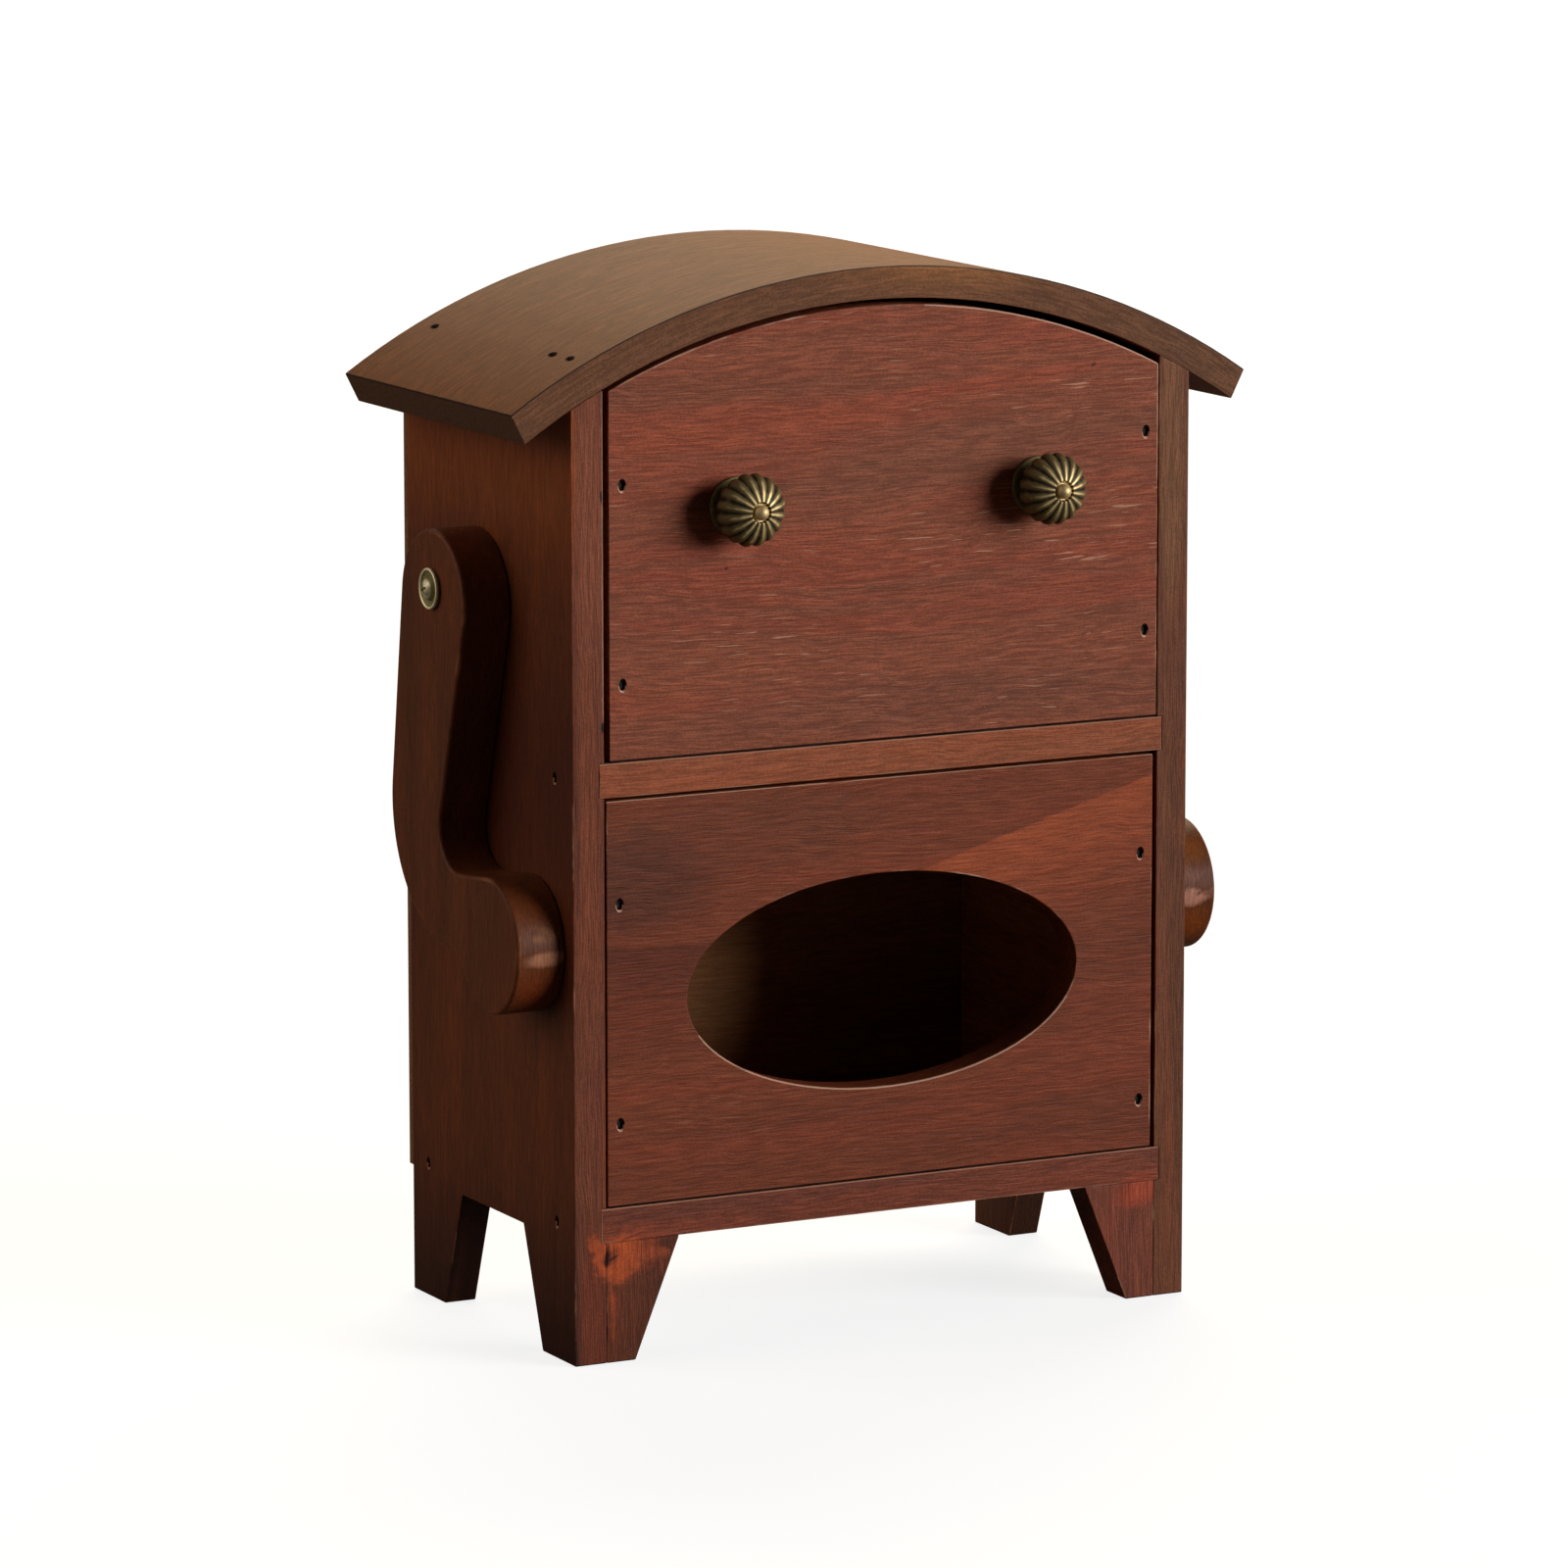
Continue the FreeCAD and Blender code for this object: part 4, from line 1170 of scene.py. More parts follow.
@dataclass
class Boards:
    """Boards of one body, copied from their nodes with eased edges.

    Attributes:
        body: The body that they ride on.
        plans: The boards.
        easing: Width of the rounding on long edges.
        shortest: Loops of edges smaller than this stay sharp.
    """

    body: str
    plans: tuple[BoardPlan, ...]
    easing: float = 0.45 * MM
    shortest: float = 20 * MM

    def build(self) -> None:
        """Make and dress each board."""
        for plan in self.plans:
            piece = copy_of(plan.node, plan.name)
            ease_edges(piece, self.easing, self.shortest)
            self.mark_edges(piece, plan)
            if plan.brads:
                BRADS[plan.brads].sink_pits(piece)
            smooth(piece)
            dress(piece, plan.finish.material(), self.body, plan.slot, plan.node)

    @staticmethod
    def mark_edges(piece: Piece, plan: BoardPlan) -> None:
        """Mark a board's sawn edges, its most worn stretches with their painted highlight, and its painted
        shade.

        Args:
            piece: The eased board.
            plan: Its plan.
        """
        size = piece.dimensions
        thin = min(range(3), key=lambda axis: size[axis])

        def sawn(face: Face) -> bool:
            """Say whether a face lies on a sawn edge.

            Args:
                face: A face of the board.

            Returns:
                Whether its normal runs across the board's thickness.
            """
            bent = plan.finish.grain is Grain.BENT
            facing = face.normal.dot(Roof.outward(face.center)) if bent else face.normal[thin]
            return abs(facing) < EDGE_TILT

        mark_faces(piece, SAWN, sawn)
        eased = [value.value for value in piece.data.attributes[WEAR_AND_SHADE].data]
        mark_faces(piece, WEAR_AND_SHADE, lambda face: plan.wear(face.center / MM, eased[face.index]))


class Roof:
    """The bent board over the carcass."""

    OUTER_RADIUS = 255.3 * MM
    END_LEAN = math.radians(27)
    FRONT_ARRIS, REAR_ARRIS = -56.2, 77.8       # where its eased edges start along Y, in millimetres

    @classmethod
    def centre_height(cls) -> float:
        """Height of the arc's centre line."""
        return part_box("roof_board")[1].z - cls.OUTER_RADIUS

    @classmethod
    def outward(cls, place: Vector) -> Vector:
        """The roof's outward direction above a place."""
        return Vector((place.x, 0, place.z - cls.centre_height())).normalized()


# ---- brads ----

@dataclass
class Brads:
    """Heads of flattened wire in oval pits, standing for one node of brads.

    Attributes:
        node: The frame's node.
        name: The piece's name.
        body: The body that they ride on.
        outward: The way out of the wood.
        depth: Surface to head, in millimetres.
        thin: Half width of a pit.
        wide: Half length of a pit.
        rim: Width of the crushed rim round the pit.
        play: Gaps between the head and the pit, the thin way and the long way.
        head_height: Height of the head.
        proud: How far the head stands over the pit's floor.
        shoulder: Width of the rounding on the head.
    """

    node: str
    name: str
    body: str
    outward: Callable[[Vector, Vector], Vector]
    depth: float = 1.5
    thin: float = 1.1
    wide: float = 1.8
    rim: float = 0.5
    play: tuple[float, float] = (0.12, 0.14)
    head_height: float = 0.8
    proud: float = 0.12
    shoulder: float = 0.3

    def drift(self) -> Piece:
        """Model the form that leaves a pit: an oval drift with a flared top.

        Returns:
            The drift, along Z at the origin.
        """
        piece = turn_on_lathe(
            "Drift", [(0, -self.depth - 0.05), (1, -self.depth - 0.05), (1, -self.rim),
                      (1.0 + self.rim / self.thin, 0.06), (1.0 + self.rim / self.thin, 0.5),
                      (0, 0.5)], 24)
        with editing(piece):
            select_all()
            bpy.ops.transform.resize(value=(self.thin, self.wide, 1), center_override=ORIGIN)
        # The pit's lower rim gets crushed wear with a painted highlight; its walls and upper rim get
        # painted shade, with collected stain.
        rim = (-self.rim * MM, 0.1 * MM)
        mark_faces(piece, WEAR_AND_SHADE, lambda face: CRUSHED_AND_HIGHLIT if rim[0] < face.center.z < rim[1]
                   and face.center.y < 0 else -1.0)
        mark_faces(piece, SAWN, lambda face: 0.0)
        return piece

    def head(self) -> Piece:
        """Model a flattened head with rounded shoulders.

        Returns:
            The head, its top below the surface that lies at the origin.
        """
        deselect_all()
        bpy.ops.mesh.primitive_cylinder_add(vertices=20, radius=1.0, depth=1.0, end_fill_type="NGON")
        piece = bpy.context.active_object
        piece.scale = ((self.thin - self.play[0]) * MM, (self.wide - self.play[1]) * MM,
                       self.head_height * MM)
        piece.location = (0, 0, -(self.depth + self.head_height / 2 - self.proud) * MM)
        bpy.ops.object.transform_apply(location=True, scale=True)
        with editing(piece):
            select(piece, "EDGE", lambda e: min(v.co.z for v in e.verts) > -self.depth * MM)
            bpy.ops.mesh.bevel(offset=self.shoulder * MM, segments=2, affect="EDGES")
        smooth(piece)
        return piece

    def set_copies(self, model: Piece, name: str) -> Piece:
        """Put a copy of a model at each brad, and join the copies.

        Args:
            model: A form along Z at the origin, long along Y. It is removed.
            name: The joined piece's name.

        Returns:
            The joined piece.
        """
        made = []
        for low, high in loose_boxes(self.node):
            place, outward, long_way = self.surface(low, high)
            turn = Matrix((long_way.cross(outward), long_way, outward)).transposed().to_4x4()
            made.append(settle(twin(model, f"{name}_{len(made)}"), Matrix.Translation(place) @ turn))
        bpy.data.objects.remove(model)
        return join(made, name)

    def sink_pits(self, board: Piece) -> None:
        """Press the pits into a board."""
        cut(board, self.set_copies(self.drift(), self.name + "Pits"))

    def build(self) -> None:
        """Set the heads."""
        heads = self.set_copies(self.head(), self.name)
        dress(heads, BRAD_STEEL.material(), self.body, "brad_steel", self.node)

    def surface(self, low: Vector, high: Vector) -> tuple[Vector, Vector, Vector]:
        """Where a brad enters the wood.

        Args:
            low: Lowest corner of the brad's box.
            high: Its highest corner.

        Returns:
            The place on the surface, the way out and the way that the head is long.
        """
        middle = (low + high) / 2
        inward_axis = max(range(3), key=lambda axis: high[axis] - low[axis])
        long_axis = max((axis for axis in range(3) if axis != inward_axis),
                        key=lambda axis: high[axis] - low[axis])
        outward = self.outward(low, high)
        driven = Vector((0, 0, 0))
        driven[inward_axis] = math.copysign(1, outward[inward_axis])
        head = middle + driven * ((high[inward_axis] - low[inward_axis]) / 2)
        long_way = Vector((0, 0, 0))
        long_way[long_axis] = 1
        return head + driven * self.depth * MM, outward, long_way


def sideways(low: Vector, high: Vector) -> Vector:
    """Away from the cabinet's middle."""
    return Vector((math.copysign(1, (low + high).x), 0, 0))


def upward_from_roof(low: Vector, high: Vector) -> Vector:
    """Square to the roof's top."""
    return Roof.outward(Vector(((low.x + high.x) / 2, 0, high.z)))


def along_depth(sign: int) -> Callable[[Vector, Vector], Vector]:
    """Straight out of the back panel (1) or of a drawer's front (-1)."""
    return lambda low, high: Vector((0, sign, 0))


BRADS = {row.node: row for row in (
    Brads("shelf_brads", "ShelfBrads", "cabinet", sideways, thin=1.0, wide=1.65),
    Brads("roof_brads", "RoofBrads", "cabinet", upward_from_roof, depth=1.3, thin=1.1, wide=1.9),
    Brads("back_brads", "BackBrads", "cabinet", along_depth(1), depth=0.3),
    Brads("upper_drawer_brads", "UpperDrawerBrads", "upper_drawer", along_depth(-1)),
    Brads("tissue_drawer_brads", "TissueDrawerBrads", "tissue_drawer", along_depth(-1)),
)}


# ---- knobs and screws ----

def set_on_front(model: Piece, name: str, node: str, inset: float, sign: int, spin: float,
                 finish: BrassFinish, slot: str) -> None:
    """Set a copy of a model at each solid of a node on the upper drawer's front.

    Args:
        model: A form that stands at the origin. It is removed.
        name: What its copies are called after their side.
        node: The node that they stand for.
        inset: Metres from the rear of a solid's box to the copy's foot.
        sign: 1 where they stand out to the rear, -1 to the front.
        spin: Degrees that they are turned about their own axis.
        finish: Their finish.
        slot: Their material slot.
    """
    made = []
    for side, (low, high) in zip(("Left", "Right"), loose_boxes(node)):
        place = Vector(((low.x + high.x) / 2, high.y - inset, (low.z + high.z) / 2))
        made.append(stand(twin(model, side + name), place, Vector((0, sign, 0)), spin))
    bpy.data.objects.remove(model)
    for piece in made:
        dress(piece, finish.material(), "upper_drawer", slot, node)


@dataclass
class FlutedKnobs:
    """Two turned knobs with ribbed heads and a bead at the tip. Lengths are millimetres.

    Attributes:
        ribs: Ribs round the head.
        steps_per_rib: Vertices across a rib.
        flute: How far a flute is sunk, as a share of the head's radius.
        shoulder: The same for the points beside a rib's crest.
        crease: How sharp the flutes' bottoms are, from 0 to 1.
        widest: Height of the head's widest ring.
        front: From there to where the dome would close.
        rear: The same towards the neck.
        radius: The head's radius over the ribs.
        projection: Drawer's face to the bead's tip.
        bead: The bead's radius.
        foot: The foot's radius.
        rear_angle: Where the head starts, in degrees before its widest ring.
        front_angle: Where it ends, in degrees after it.
    """

    ribs: int = 16
    steps_per_rib: int = 4
    flute: float = 0.085
    shoulder: float = 0.012
    crease: float = 0.55
    widest: float = 10.4
    front: float = 9.2
    rear: float = 5.6
    radius: float = 12.9
    projection: float = 21.5
    bead: float = 2.7
    foot: float = 10.5
    rear_angle: float = -58.0
    front_angle: float = 72.0

    def head_rings(self) -> list[tuple[float, float]]:
        """Find the head's rings, from the neck to the tip's recess.

        Returns:
            Their radii and heights.
        """
        rings = []
        for angle in (self.rear_angle, -40, -20, 0, 16, 31, 45, 57, 66, self.front_angle):
            swing = math.radians(angle)
            reach = self.front if angle > 0 else self.rear
            rings.append((self.radius * math.cos(swing), self.widest + reach * math.sin(swing)))
        return rings

    def profile(self) -> list[tuple[float, float]]:
        """Find the whole run from the foot's middle to the bead's tip.

        Returns:
            Radius and height of each ring.
        """
        head = self.head_rings()
        foot = [(0, 0), (10.2, 0), (self.foot, 0.3), (self.foot, 1.1), (10.1, 1.6), (7.4, 1.75),
                (6.3, 2.2), (6.0, 3.0), (6.0, head[0][1] - 0.7), (6.2, head[0][1] - 0.25)]
        rim_radius, rim_height = head[-1]
        recess = [(rim_radius - 0.35, rim_height + 0.02), (rim_radius - 0.5, rim_height - 0.5),
                  (rim_radius - 0.55, rim_height - 1.2), (self.bead * 0.88, rim_height - 1.35)]
        centre = self.projection - self.bead
        ball = [(self.bead * math.sin(math.radians(a)), centre + self.bead * math.cos(math.radians(a)))
                for a in (104, 84, 62, 38, 18, 0)]
        return foot + head + recess + ball

    def flute_head(self, piece: Piece) -> None:
        """Sink the flutes between the ribs by scaling meridians about the axis.

        Args:
            piece: The plain turned knob.
        """
        steps = self.ribs * self.steps_per_rib
        head = self.head_rings()
        low, high = head[0][1] * MM - NEAR, head[-1][1] * MM + NEAR
        smallest = (head[-1][0] - 0.1) * MM

        def on_meridian(co: Vector, phases: tuple[int, ...]) -> bool:
            """Whether a point of the head lies at one of some steps within its rib."""
            step = round(math.atan2(co.y, co.x) / (2 * math.pi) * steps) % self.steps_per_rib
            return low < co.z < high and math.hypot(co.x, co.y) > smallest and step in phases

        with editing(piece):
            for phases, sink in (((0,), self.flute), ((1, 3), self.shoulder)):
                select(piece, "VERT", lambda v: on_meridian(v.co, phases))
                bpy.ops.transform.resize(value=(1 - sink, 1 - sink, 1), center_override=ORIGIN)
            select(piece, "EDGE", lambda e: all(on_meridian(v.co, (0,)) for v in e.verts))
            bpy.ops.transform.edge_crease(value=self.crease)

    def rise(self, co: Vector) -> float:
        """Find how high a point stands, for the patina.

        Args:
            co: The point.

        Returns:
            1 on the bead and on the ribs near it, and less in flutes and towards the foot.
        """
        radius, height = math.hypot(co.x, co.y) / MM, co.z / MM
        head_start = self.widest + self.rear * math.sin(math.radians(self.rear_angle))
        if height > head_start + 0.3 and radius > self.bead + 0.45:
            phase = math.atan2(co.y, co.x) / (2 * math.pi) * self.ribs
            forward_share = max(0.0, (height - self.widest) / self.front)
            crest = abs(math.sin(math.pi * phase)) ** (1.0 + 1.4 * forward_share)
            return crest * (0.3 + 0.84 * forward_share)
        on_bead = height > self.projection - 1.7 * self.bead
        on_foot = radius > self.foot - 0.9
        return 1.0 if on_bead else 0.6 if on_foot else 0.25

    def build(self) -> None:
        """Model one knob, and set a copy at each place."""
        model = turn_on_lathe("KnobModel", self.profile(), self.ribs * self.steps_per_rib)
        self.flute_head(model)
        apply(model, "SUBSURF", levels=2, render_levels=2)
        mark_crests(model, self.rise)
        pick(model)
        bpy.ops.object.shade_smooth()
        set_on_front(model, "Knob", "knobs", 0.0, -1, 0.0, KNOB_BRASS, "aged_brass")


@dataclass
class KnobScrews:
    """Slotted cheese-headed screws inside the drawer. Lengths are millimetres.

    Attributes:
        head_radius: Radius of the head.
        head_height: Its height.
        slot: Width of its slot.
        spin: Degrees that the slot is turned.
    """

    head_radius: float = 4.0
    head_height: float = 2.6
    slot: float = 1.1
    spin: float = 24.0

    def build(self) -> None:
        """Model one head with its slot, and set a copy behind each knob."""
        r, h = self.head_radius, self.head_height
        model = turn_on_lathe("KnobScrewModel", [(0, 0), (r, 0), (r, h - 0.5), (r - 0.15, h - 0.15),
                                                 (r - 0.6, h), (0, h)], 32)
        cut_with_box(model, (2 * r + 1, self.slot, 1.2), (0, 0, h))
        smooth(model)
        set_on_front(model, "KnobScrew", "knob_screws", h * MM, 1, self.spin, BRAD_STEEL,
                     "brad_steel")


def cut_with_box(piece: Piece, size: Triple, place: Triple) -> None:
    """Cut a box out of a piece.

    Args:
        piece: A closed piece at the origin.
        size: The box's sides in millimetres.
        place: Its centre in millimetres.
    """
    deselect_all()
    bpy.ops.mesh.primitive_cube_add(size=1.0, location=[value * MM for value in place],
                                    scale=[value * MM for value in size])
    cut(piece, bpy.context.active_object)


@dataclass
class ArmHardware:
    """Cup washers and round-headed cross-recess screws on the arms' pivots. Millimetres.

    Attributes:
        washer_radius: Outer radius of the cup washer.
        lip: Height of its lip.
        floor: Thickness of its dished floor.
        head_radius: Radius of the screw's head.
        head_height: Height of the screw's head.
        spin: Degrees that the screw's cross is turned.
    """

    washer_radius: float = 7.2
    lip: float = 1.7
    floor: float = 0.8
    head_radius: float = 4.3
    head_height: float = 2.7
    spin: float = 20.0

    def washer(self) -> Piece:
        """Turn a ring with a rolled lip and a dished floor.

        Returns:
            The washer, its seat at the origin.
        """
        r, lip, floor = self.washer_radius, self.lip, self.floor
        profile = [(2.25, 0), (r - 0.3, 0), (r, 0.4), (r, lip - 0.35), (r - 0.15, lip - 0.08),
                   (r - 0.45, lip), (r - 0.8, lip - 0.12), (r - 1.05, lip - 0.5), (r - 1.5, floor + 0.15),
                   (r - 2.4, floor), (2.25, floor)]
        piece = turn_on_lathe("WasherModel", profile, 48, ring=True)
        smooth(piece, 50)
        # The lip is marked high, so it comes out bright: rubbed brass with a painted highlight.
        mark_crests(piece, lambda co: 1.25 if co.z > (lip - 0.4) * MM else 0.35)
        return piece

    def screw(self) -> Piece:
        """Turn a domed head and cut its cross recess.

        Returns:
            The head, its underside at the origin.
        """
        height, radius = self.head_height, self.head_radius
        ball = (radius ** 2 + height ** 2) / (2 * height)
        widest = math.asin(radius / ball)
        dome = [(ball * math.sin(widest * share), height - ball + ball * math.cos(widest * share))
                for share in (1, 0.86, 0.7, 0.52, 0.34, 0.16, 0)]
        piece = turn_on_lathe("ScrewModel", [(0, 0), (radius - 0.2, 0), *dome], 40)
        for size in ((3.7, 0.95, 2.2), (0.95, 3.7, 2.2), (1.7, 1.7, 3.2)):
            cut_with_box(piece, size, (0, 0, height))
        smooth(piece)
        mark_crests(piece, lambda co: 0.85 if co.z > 0.35 * height * MM else 0.3)
        return piece

    def build(self) -> None:
        """Set a washer and a screw on each arm."""
        washer, screw = self.washer(), self.screw()
        for side, (low, high) in zip(("Left", "Right"), loose_boxes("arm_washers")):
            outward = sideways(low, high)
            seat = high.x if side == "Left" else low.x
            place = Vector((seat, (low.y + high.y) / 2, (low.z + high.z) / 2))
            on_floor = place + outward * self.floor * MM
            for model, name, foot, spin, node in (
                    (washer, "CupWasher", place, 0, "arm_washers"),
                    (screw, "ArmScrew", on_floor, self.spin, "arm_screws")):
                piece = stand(twin(model, side + name), foot, outward, spin)
                dress(piece, CUP_BRASS.material(), "cabinet", "aged_brass", node)
        for model in (washer, screw):
            bpy.data.objects.remove(model)


# ---- arms ----

@dataclass
class SawnArm:
    """An arm sawn from a board, its outer edge rounded over.

    Attributes:
        node: The frame's node and body.
        name: The piece's name.
        pivot: Where the screw's axis sits.
        rounding: Radius of the outer edge.
        easing: Radius of the inner edge.
        bore: Radius of the screw's hole.
    """

    node: str
    name: str
    pivot: Vector
    rounding: float = 1.3 * MM
    easing: float = 0.7 * MM
    bore: float = 2.18 * MM

    def build(self) -> None:
        """Section the node, extrude the outline, round its edges and bore it."""
        low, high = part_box(self.node)
        middle = (low.x + high.x) / 2
        outer, inner = (low.x, high.x) if middle < 0 else (high.x, low.x)
        piece = copy_of(self.node, self.name)
        with editing(piece):
            select_all()
            bpy.ops.mesh.bisect(plane_co=(middle, 0, 0), plane_no=(1, 0, 0),
                                clear_inner=True, clear_outer=True)
            select(piece, "VERT", lambda v: (v.co - self.pivot).yz.length < 2 * self.bore)
            bpy.ops.mesh.delete(type="VERT")
            select_all()
            bpy.ops.mesh.remove_doubles(threshold=NEAR)
            bpy.ops.mesh.edge_face_add()
            bpy.ops.transform.translate(value=(inner - middle, 0, 0))
            bpy.ops.mesh.extrude_region_move(TRANSFORM_OT_translate={"value": (outer - inner, 0, 0)})
            select_all()
            bpy.ops.mesh.normals_make_consistent(inside=False)
            for plane, radius, segments in ((outer, self.rounding, 6), (inner, self.easing, 2)):
                select(piece, "EDGE", lambda e: all(abs(v.co.x - plane) < NEAR for v in e.verts))
                bpy.ops.mesh.bevel(offset=radius, segments=segments, affect="EDGES")
        mark_faces(piece, WEAR_AND_SHADE, lambda face: NEAR < abs(face.center.x - outer) < 0.95 * self.rounding)
        mark_faces(piece, SAWN, lambda face: abs(face.normal.x) < EDGE_TILT)
        deselect_all()
        bpy.ops.mesh.primitive_cylinder_add(vertices=32, radius=self.bore, depth=3 * abs(outer - inner),
                                            location=(middle, self.pivot.y, self.pivot.z),
                                            rotation=(0, math.pi / 2, 0))
        cut(piece, bpy.context.active_object)
        smooth(piece, 30)
        dress(piece, ARM.material(), self.node, "stained_wood", self.node)


# ---- studio ----

@dataclass
class Lamp:
    """A far lamp, given by where its light comes from.

    Attributes:
        name: The lamp's name.
        bearing: Degrees to the right of straight in front of the cabinet.
        height: Degrees above the floor.
        strength: Irradiance.
        spread: Apparent size in degrees.
        colour: Its colour.
    """

    name: str
    bearing: float
    height: float
    strength: float
    spread: float
    colour: Triple = (1.0, 1.0, 1.0)

    def hang(self) -> None:
        """Add the lamp."""
        data = bpy.data.lights.new(self.name, "SUN")
        data.energy = self.strength
        data.angle = math.radians(self.spread)
        data.color = self.colour
        lamp = bpy.data.objects.new(self.name, data)
        bearing, height = math.radians(self.bearing), math.radians(self.height)
        source = Vector((math.sin(bearing) * math.cos(height), -math.cos(bearing) * math.cos(height),
                         math.sin(height)))
        lamp.rotation_mode = "QUATERNION"
        lamp.rotation_quaternion = source.to_track_quat("Z", "Y")
        lamp.location = source * 2
        bpy.context.scene.collection.objects.link(lamp)


@dataclass
class Studio:
    """Camera, lamps, white surroundings and floor.

    Attributes:
        eye: The camera's place.
        aim: What it looks at.
        lens: Focal length in millimetres on a 36 mm frame.
        roll: Degrees.
        lamps: The lamps.
        bright_side: Direction from which the surroundings are brightest.
        dim: Strength of the surroundings on the other side.
        bright: Strength on the bright side.
        shine: Strength that polished pieces mirror on the bright side.
        ground: Grey of the floor as light meets it.
        seen: Grey of the floor that the camera sees.
        glow: What is added there, so that it comes out white beside the shadow.
    """

    eye: Vector = field(default_factory=lambda: Vector((-1.2754, -2.45005, 0.6605)))
    aim: Vector = field(default_factory=lambda: Vector((-0.005888, 0.00825, 0.183829)))
    lens: float = 8130 / 1600 * 36
    roll: float = -0.038
    lamps: tuple[Lamp, ...] = (
        Lamp("WindowLight", bearing=45, height=7, strength=4.35, spread=38),
        Lamp("BackLight", bearing=150, height=42, strength=2.0, spread=44, colour=(1.0, 0.82, 0.54)),
        Lamp("LeftFill", bearing=-112, height=24, strength=1.2, spread=60, colour=(1.0, 0.93, 0.84)),
    )
    bright_side: Vector = field(default_factory=lambda: Vector((0.75, 0.35, 0.55)).normalized())
    dim: float = 0.003
    bright: float = 0.022
    shine: float = 0.12
    ground: float = 0.12
    seen: float = 0.32
    glow: float = 0.82

    def camera(self) -> None:
        """Add the camera and make it the scene's."""
        data = bpy.data.cameras.new("Camera")
        data.lens, data.sensor_width = self.lens, 36.0
        data.clip_start, data.clip_end = 0.05, 60.0
        camera = bpy.data.objects.new("Camera", data)
        camera.location = self.eye
        look = (self.aim - self.eye).to_track_quat("-Z", "Y").to_matrix()
        camera.rotation_euler = (look @ Matrix.Rotation(math.radians(self.roll), 3, "Z")).to_euler()
        bpy.context.scene.collection.objects.link(camera)
        bpy.context.scene.camera = camera

    def surroundings(self) -> None:
        """White for the camera and through glass; otherwise brighter on the window's side."""
        world = bpy.data.worlds.new("Surroundings")
        world.use_nodes = True
        bpy.context.scene.world = world
        bench = ShaderBench(world.node_tree)
        background = world.node_tree.nodes["Background"]
        way = bench.add("ShaderNodeTexCoord").outputs["Generated"]
        facing = bench.vector_math("DOT_PRODUCT", way, tuple(self.bright_side))
        share = bench.ramp(facing, -0.7, 0.9)
        level = bench.plus(self.dim, bench.times(share, self.bright - self.dim))
        ray = bench.add("ShaderNodeLightPath").outputs
        glossy = bench.times(ray["Is Glossy Ray"], share, self.shine)
        seen = bench.most(ray["Is Camera Ray"], ray["Is Transmission Ray"])
        level = bench.most(bench.most(level, glossy), seen)
        bench.feed(background.inputs["Color"], WHITE)
        bench.feed(background.inputs["Strength"], level)

    def floor(self) -> None:
        """A wide pale floor that is white to the camera apart from the cabinet's shadow."""
        deselect_all()
        bpy.ops.mesh.primitive_plane_add(size=40.0, location=(0, 0, -0.05 * MM))
        floor = bpy.context.active_object
        floor.name = "Floor"
        bench = MaterialBench("PaleFloor")
        to_camera = bench.add("ShaderNodeLightPath").outputs["Is Camera Ray"]
        black, ground, seen, pale, glow = (
            (level, level, level, 1.0) for level in (0.0, self.ground, self.seen, 0.6, self.glow))
        tint = bench.mix(to_camera, ground, seen)
        cloud = bench.times(bench.noise(bench.place, (3, 3, 3), 2), 0.04)
        bench.shade({
            "Base Color": bench.mix(cloud, tint, pale), "Roughness": 1.0, "Specular IOR Level": 0.0,
            "Emission Strength": 1.0, "Emission Color": bench.mix(to_camera, black, glow)})
        floor.data.materials.append(bench.material)

    def build(self) -> None:
        """Set up the studio."""
        self.camera()
        self.surroundings()
        self.floor()
        for lamp in self.lamps:
            lamp.hang()
        bpy.context.scene.view_settings.view_transform = "Standard"


def carcass() -> Boards:
    """The cabinet's own boards.

    Returns:
        The boards.
    """
    return Boards("cabinet", (
        BoardPlan("left_side", "LeftSide", LEFT_SIDE, brads="shelf_brads", rubbed_and_highlit=along_gap,
                  pooled=shaded_side_feet),
        BoardPlan("right_side", "RightSide", RIGHT_SIDE, brads="shelf_brads", pooled=shaded_side_feet),
        BoardPlan("bottom_board", "BottomBoard", BOTTOM, rubbed_and_highlit=along_top(54.2)),
        BoardPlan("divider_shelf", "DividerShelf", DIVIDER, rubbed_and_highlit=along_top(208.7)),
        BoardPlan("back_panel", "BackPanel", PLY, "plywood", "back_brads"),
        BoardPlan("roof_board", "RoofBoard", ROOF, brads="roof_brads", pooled=roof_dark_lines_and_shaded_end),
        BoardPlan("left_foot_bracket", "LeftFootBracket", LEFT_BRACKET, pooled=shaded_lower_edge(0)),
        BoardPlan("right_foot_bracket", "RightFootBracket", RIGHT_BRACKET, pooled=shaded_lower_edge(0)),
    ))


def along_top(height: float) -> Callable[[Vector], bool]:
    """A board's upper front edge, at a height in millimetres."""
    return lambda place: abs(place.z - height) < 0.5 and place.y < -50


def along_gap(place: Vector) -> bool:
    """The left side's inner front edge, beside the upper drawer."""
    return place.x > -108.6 and place.y < -56 and 209 < place.z < 335


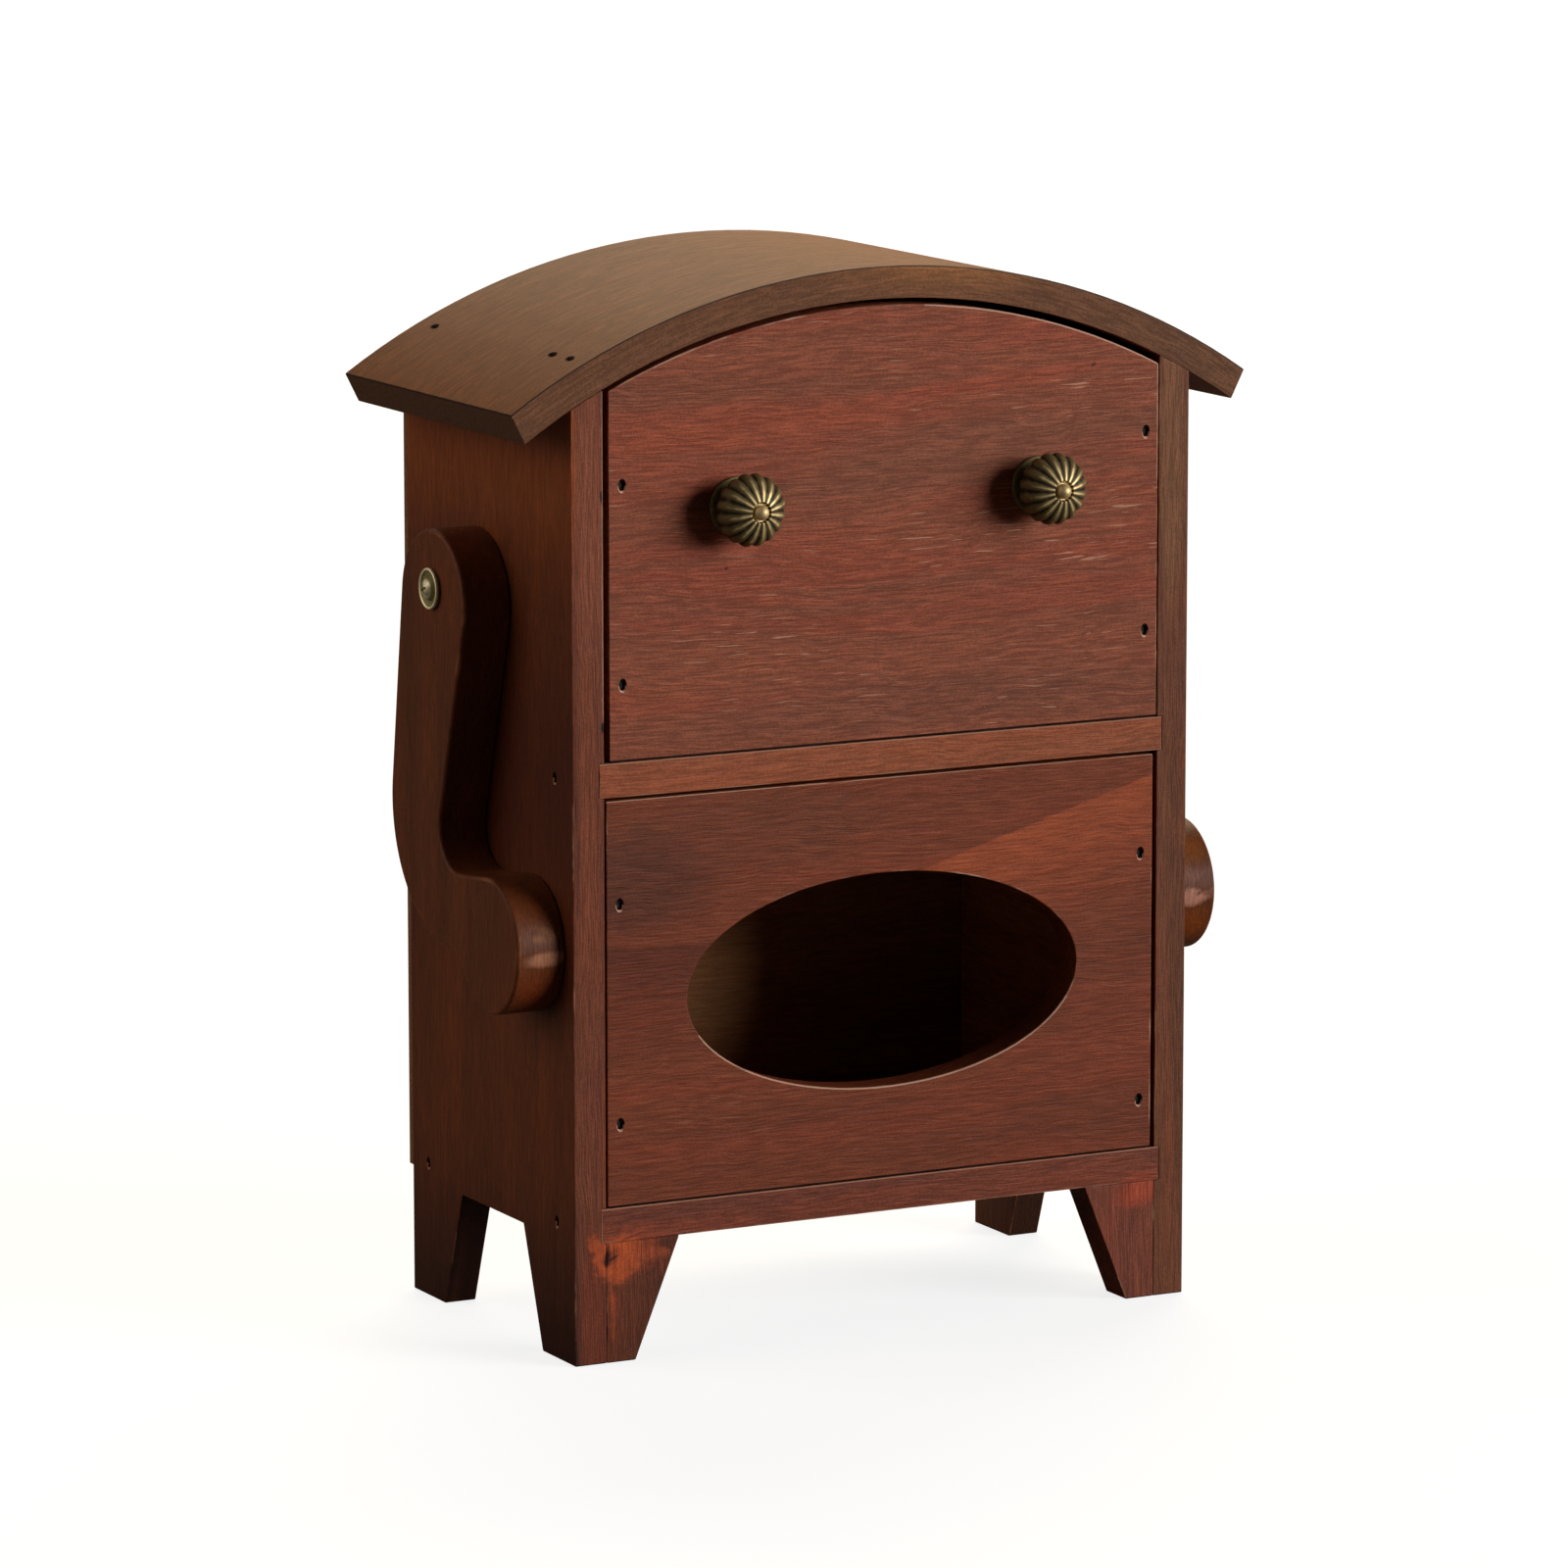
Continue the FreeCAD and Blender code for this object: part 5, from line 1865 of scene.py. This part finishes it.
def roof_dark_lines_and_shaded_end(place: Vector) -> float:
    """Dark lines round the roof's top, and painted shade on its left end, which leans inwards.

    Args:
        place: A place in millimetres.

    Returns:
        How dark it is.
    """
    centre, low_x = Roof.centre_height() / MM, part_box("roof_board")[0].x / MM
    radius = math.hypot(place.x, place.z - centre)
    corner = centre + math.sqrt((Roof.OUTER_RADIUS / MM) ** 2 - low_x ** 2)
    inside = (place.x - low_x) * math.cos(Roof.END_LEAN) + (place.z - corner) * math.sin(Roof.END_LEAN)
    at_end = place.x < 0 and inside < 0.5
    round_top = at_end or place.y < Roof.FRONT_ARRIS or place.y > Roof.REAR_ARRIS
    if round_top and radius > Roof.OUTER_RADIUS / MM - 0.6:
        return 0.75
    # Painted shade on the left end.
    return 0.4 if at_end else 0.0


def shaded_side_feet(place: Vector) -> float:
    """Painted shade under a side's feet and round the notch between them.

    Args:
        place: A place in millimetres.

    Returns:
        How dark it is.
    """
    clear_of_faces = 108.6 < abs(place.x) < 119.4
    in_notch = place.z < 43 and -50 < place.y < 70 and clear_of_faces
    return shaded_lower_edge(0)(place) or (0.7 if in_notch else 0.0)


def shaded_lower_edge(height: float) -> Callable[[Vector], float]:
    """Painted shade along a board's lower edge, at a height in millimetres: in a drawer front's gap and
    under a foot.
    """
    return lambda place: LOWER_EDGE_SHADE if place.z < height + 0.6 else 0.0


def rubbed_and_highlit_front(place: Vector) -> bool:
    """The arch's right half, the lower front's top edge and the opening's lower lip: worn edges that catch
    the light.

    Args:
        place: A place in millimetres.

    Returns:
        Whether it is well worn there, with a painted highlight.
    """
    half_wide, half_high, opening_height = 76.3, 37.7, 124.5
    on_arch = place.z > 300 and place.x > 15
    off_middle = math.hypot(place.x / half_wide, (place.z - opening_height) / half_high)
    on_lip = place.z < 112 and off_middle < 1.05
    on_top = 190 < place.z < 200 and place.y < -56
    return on_arch or on_lip or on_top


def drawer(body: str, title: str, front: WoodFinish) -> Boards:
    """A drawer's boards.

    Args:
        body: The drawer's body, with which its nodes' names start.
        title: Start of its pieces' names.
        front: The finish of its front.

    Returns:
        The boards.
    """
    return Boards(body, easing=0.6 * MM, plans=(
        BoardPlan(body + "_front", title + "Front", front, brads=body + "_brads", rubbed_and_highlit=rubbed_and_highlit_front,
                  pooled=shaded_lower_edge(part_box(body + "_front")[0].z / MM)),
        BoardPlan(body + "_left_side", title + "LeftWall", INSIDE),
        BoardPlan(body + "_right_side", title + "RightWall", INSIDE),
        BoardPlan(body + "_back", title + "BackWall", INSIDE_BACK),
        BoardPlan(body + "_bottom", title + "Bottom", PLY, "plywood"),
    ))


def main() -> None:
    """Build the studio and every sub-assembly in order."""
    logging.basicConfig(level=logging.INFO, format="%(message)s")
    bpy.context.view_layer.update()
    Studio().build()
    carcass().build()
    drawer("upper_drawer", "UpperDrawer", UPPER_FRONT).build()
    drawer("tissue_drawer", "TissueDrawer", LOWER_FRONT).build()
    for row in BRADS.values():
        row.build()
    FlutedKnobs().build()
    KnobScrews().build()
    ArmHardware().build()
    SawnArm("left_arm", "LeftArm", joint_place("left_arm_swing")).build()
    SawnArm("right_arm", "RightArm", joint_place("right_arm_swing")).build()


if __name__ == "__main__":
    main()
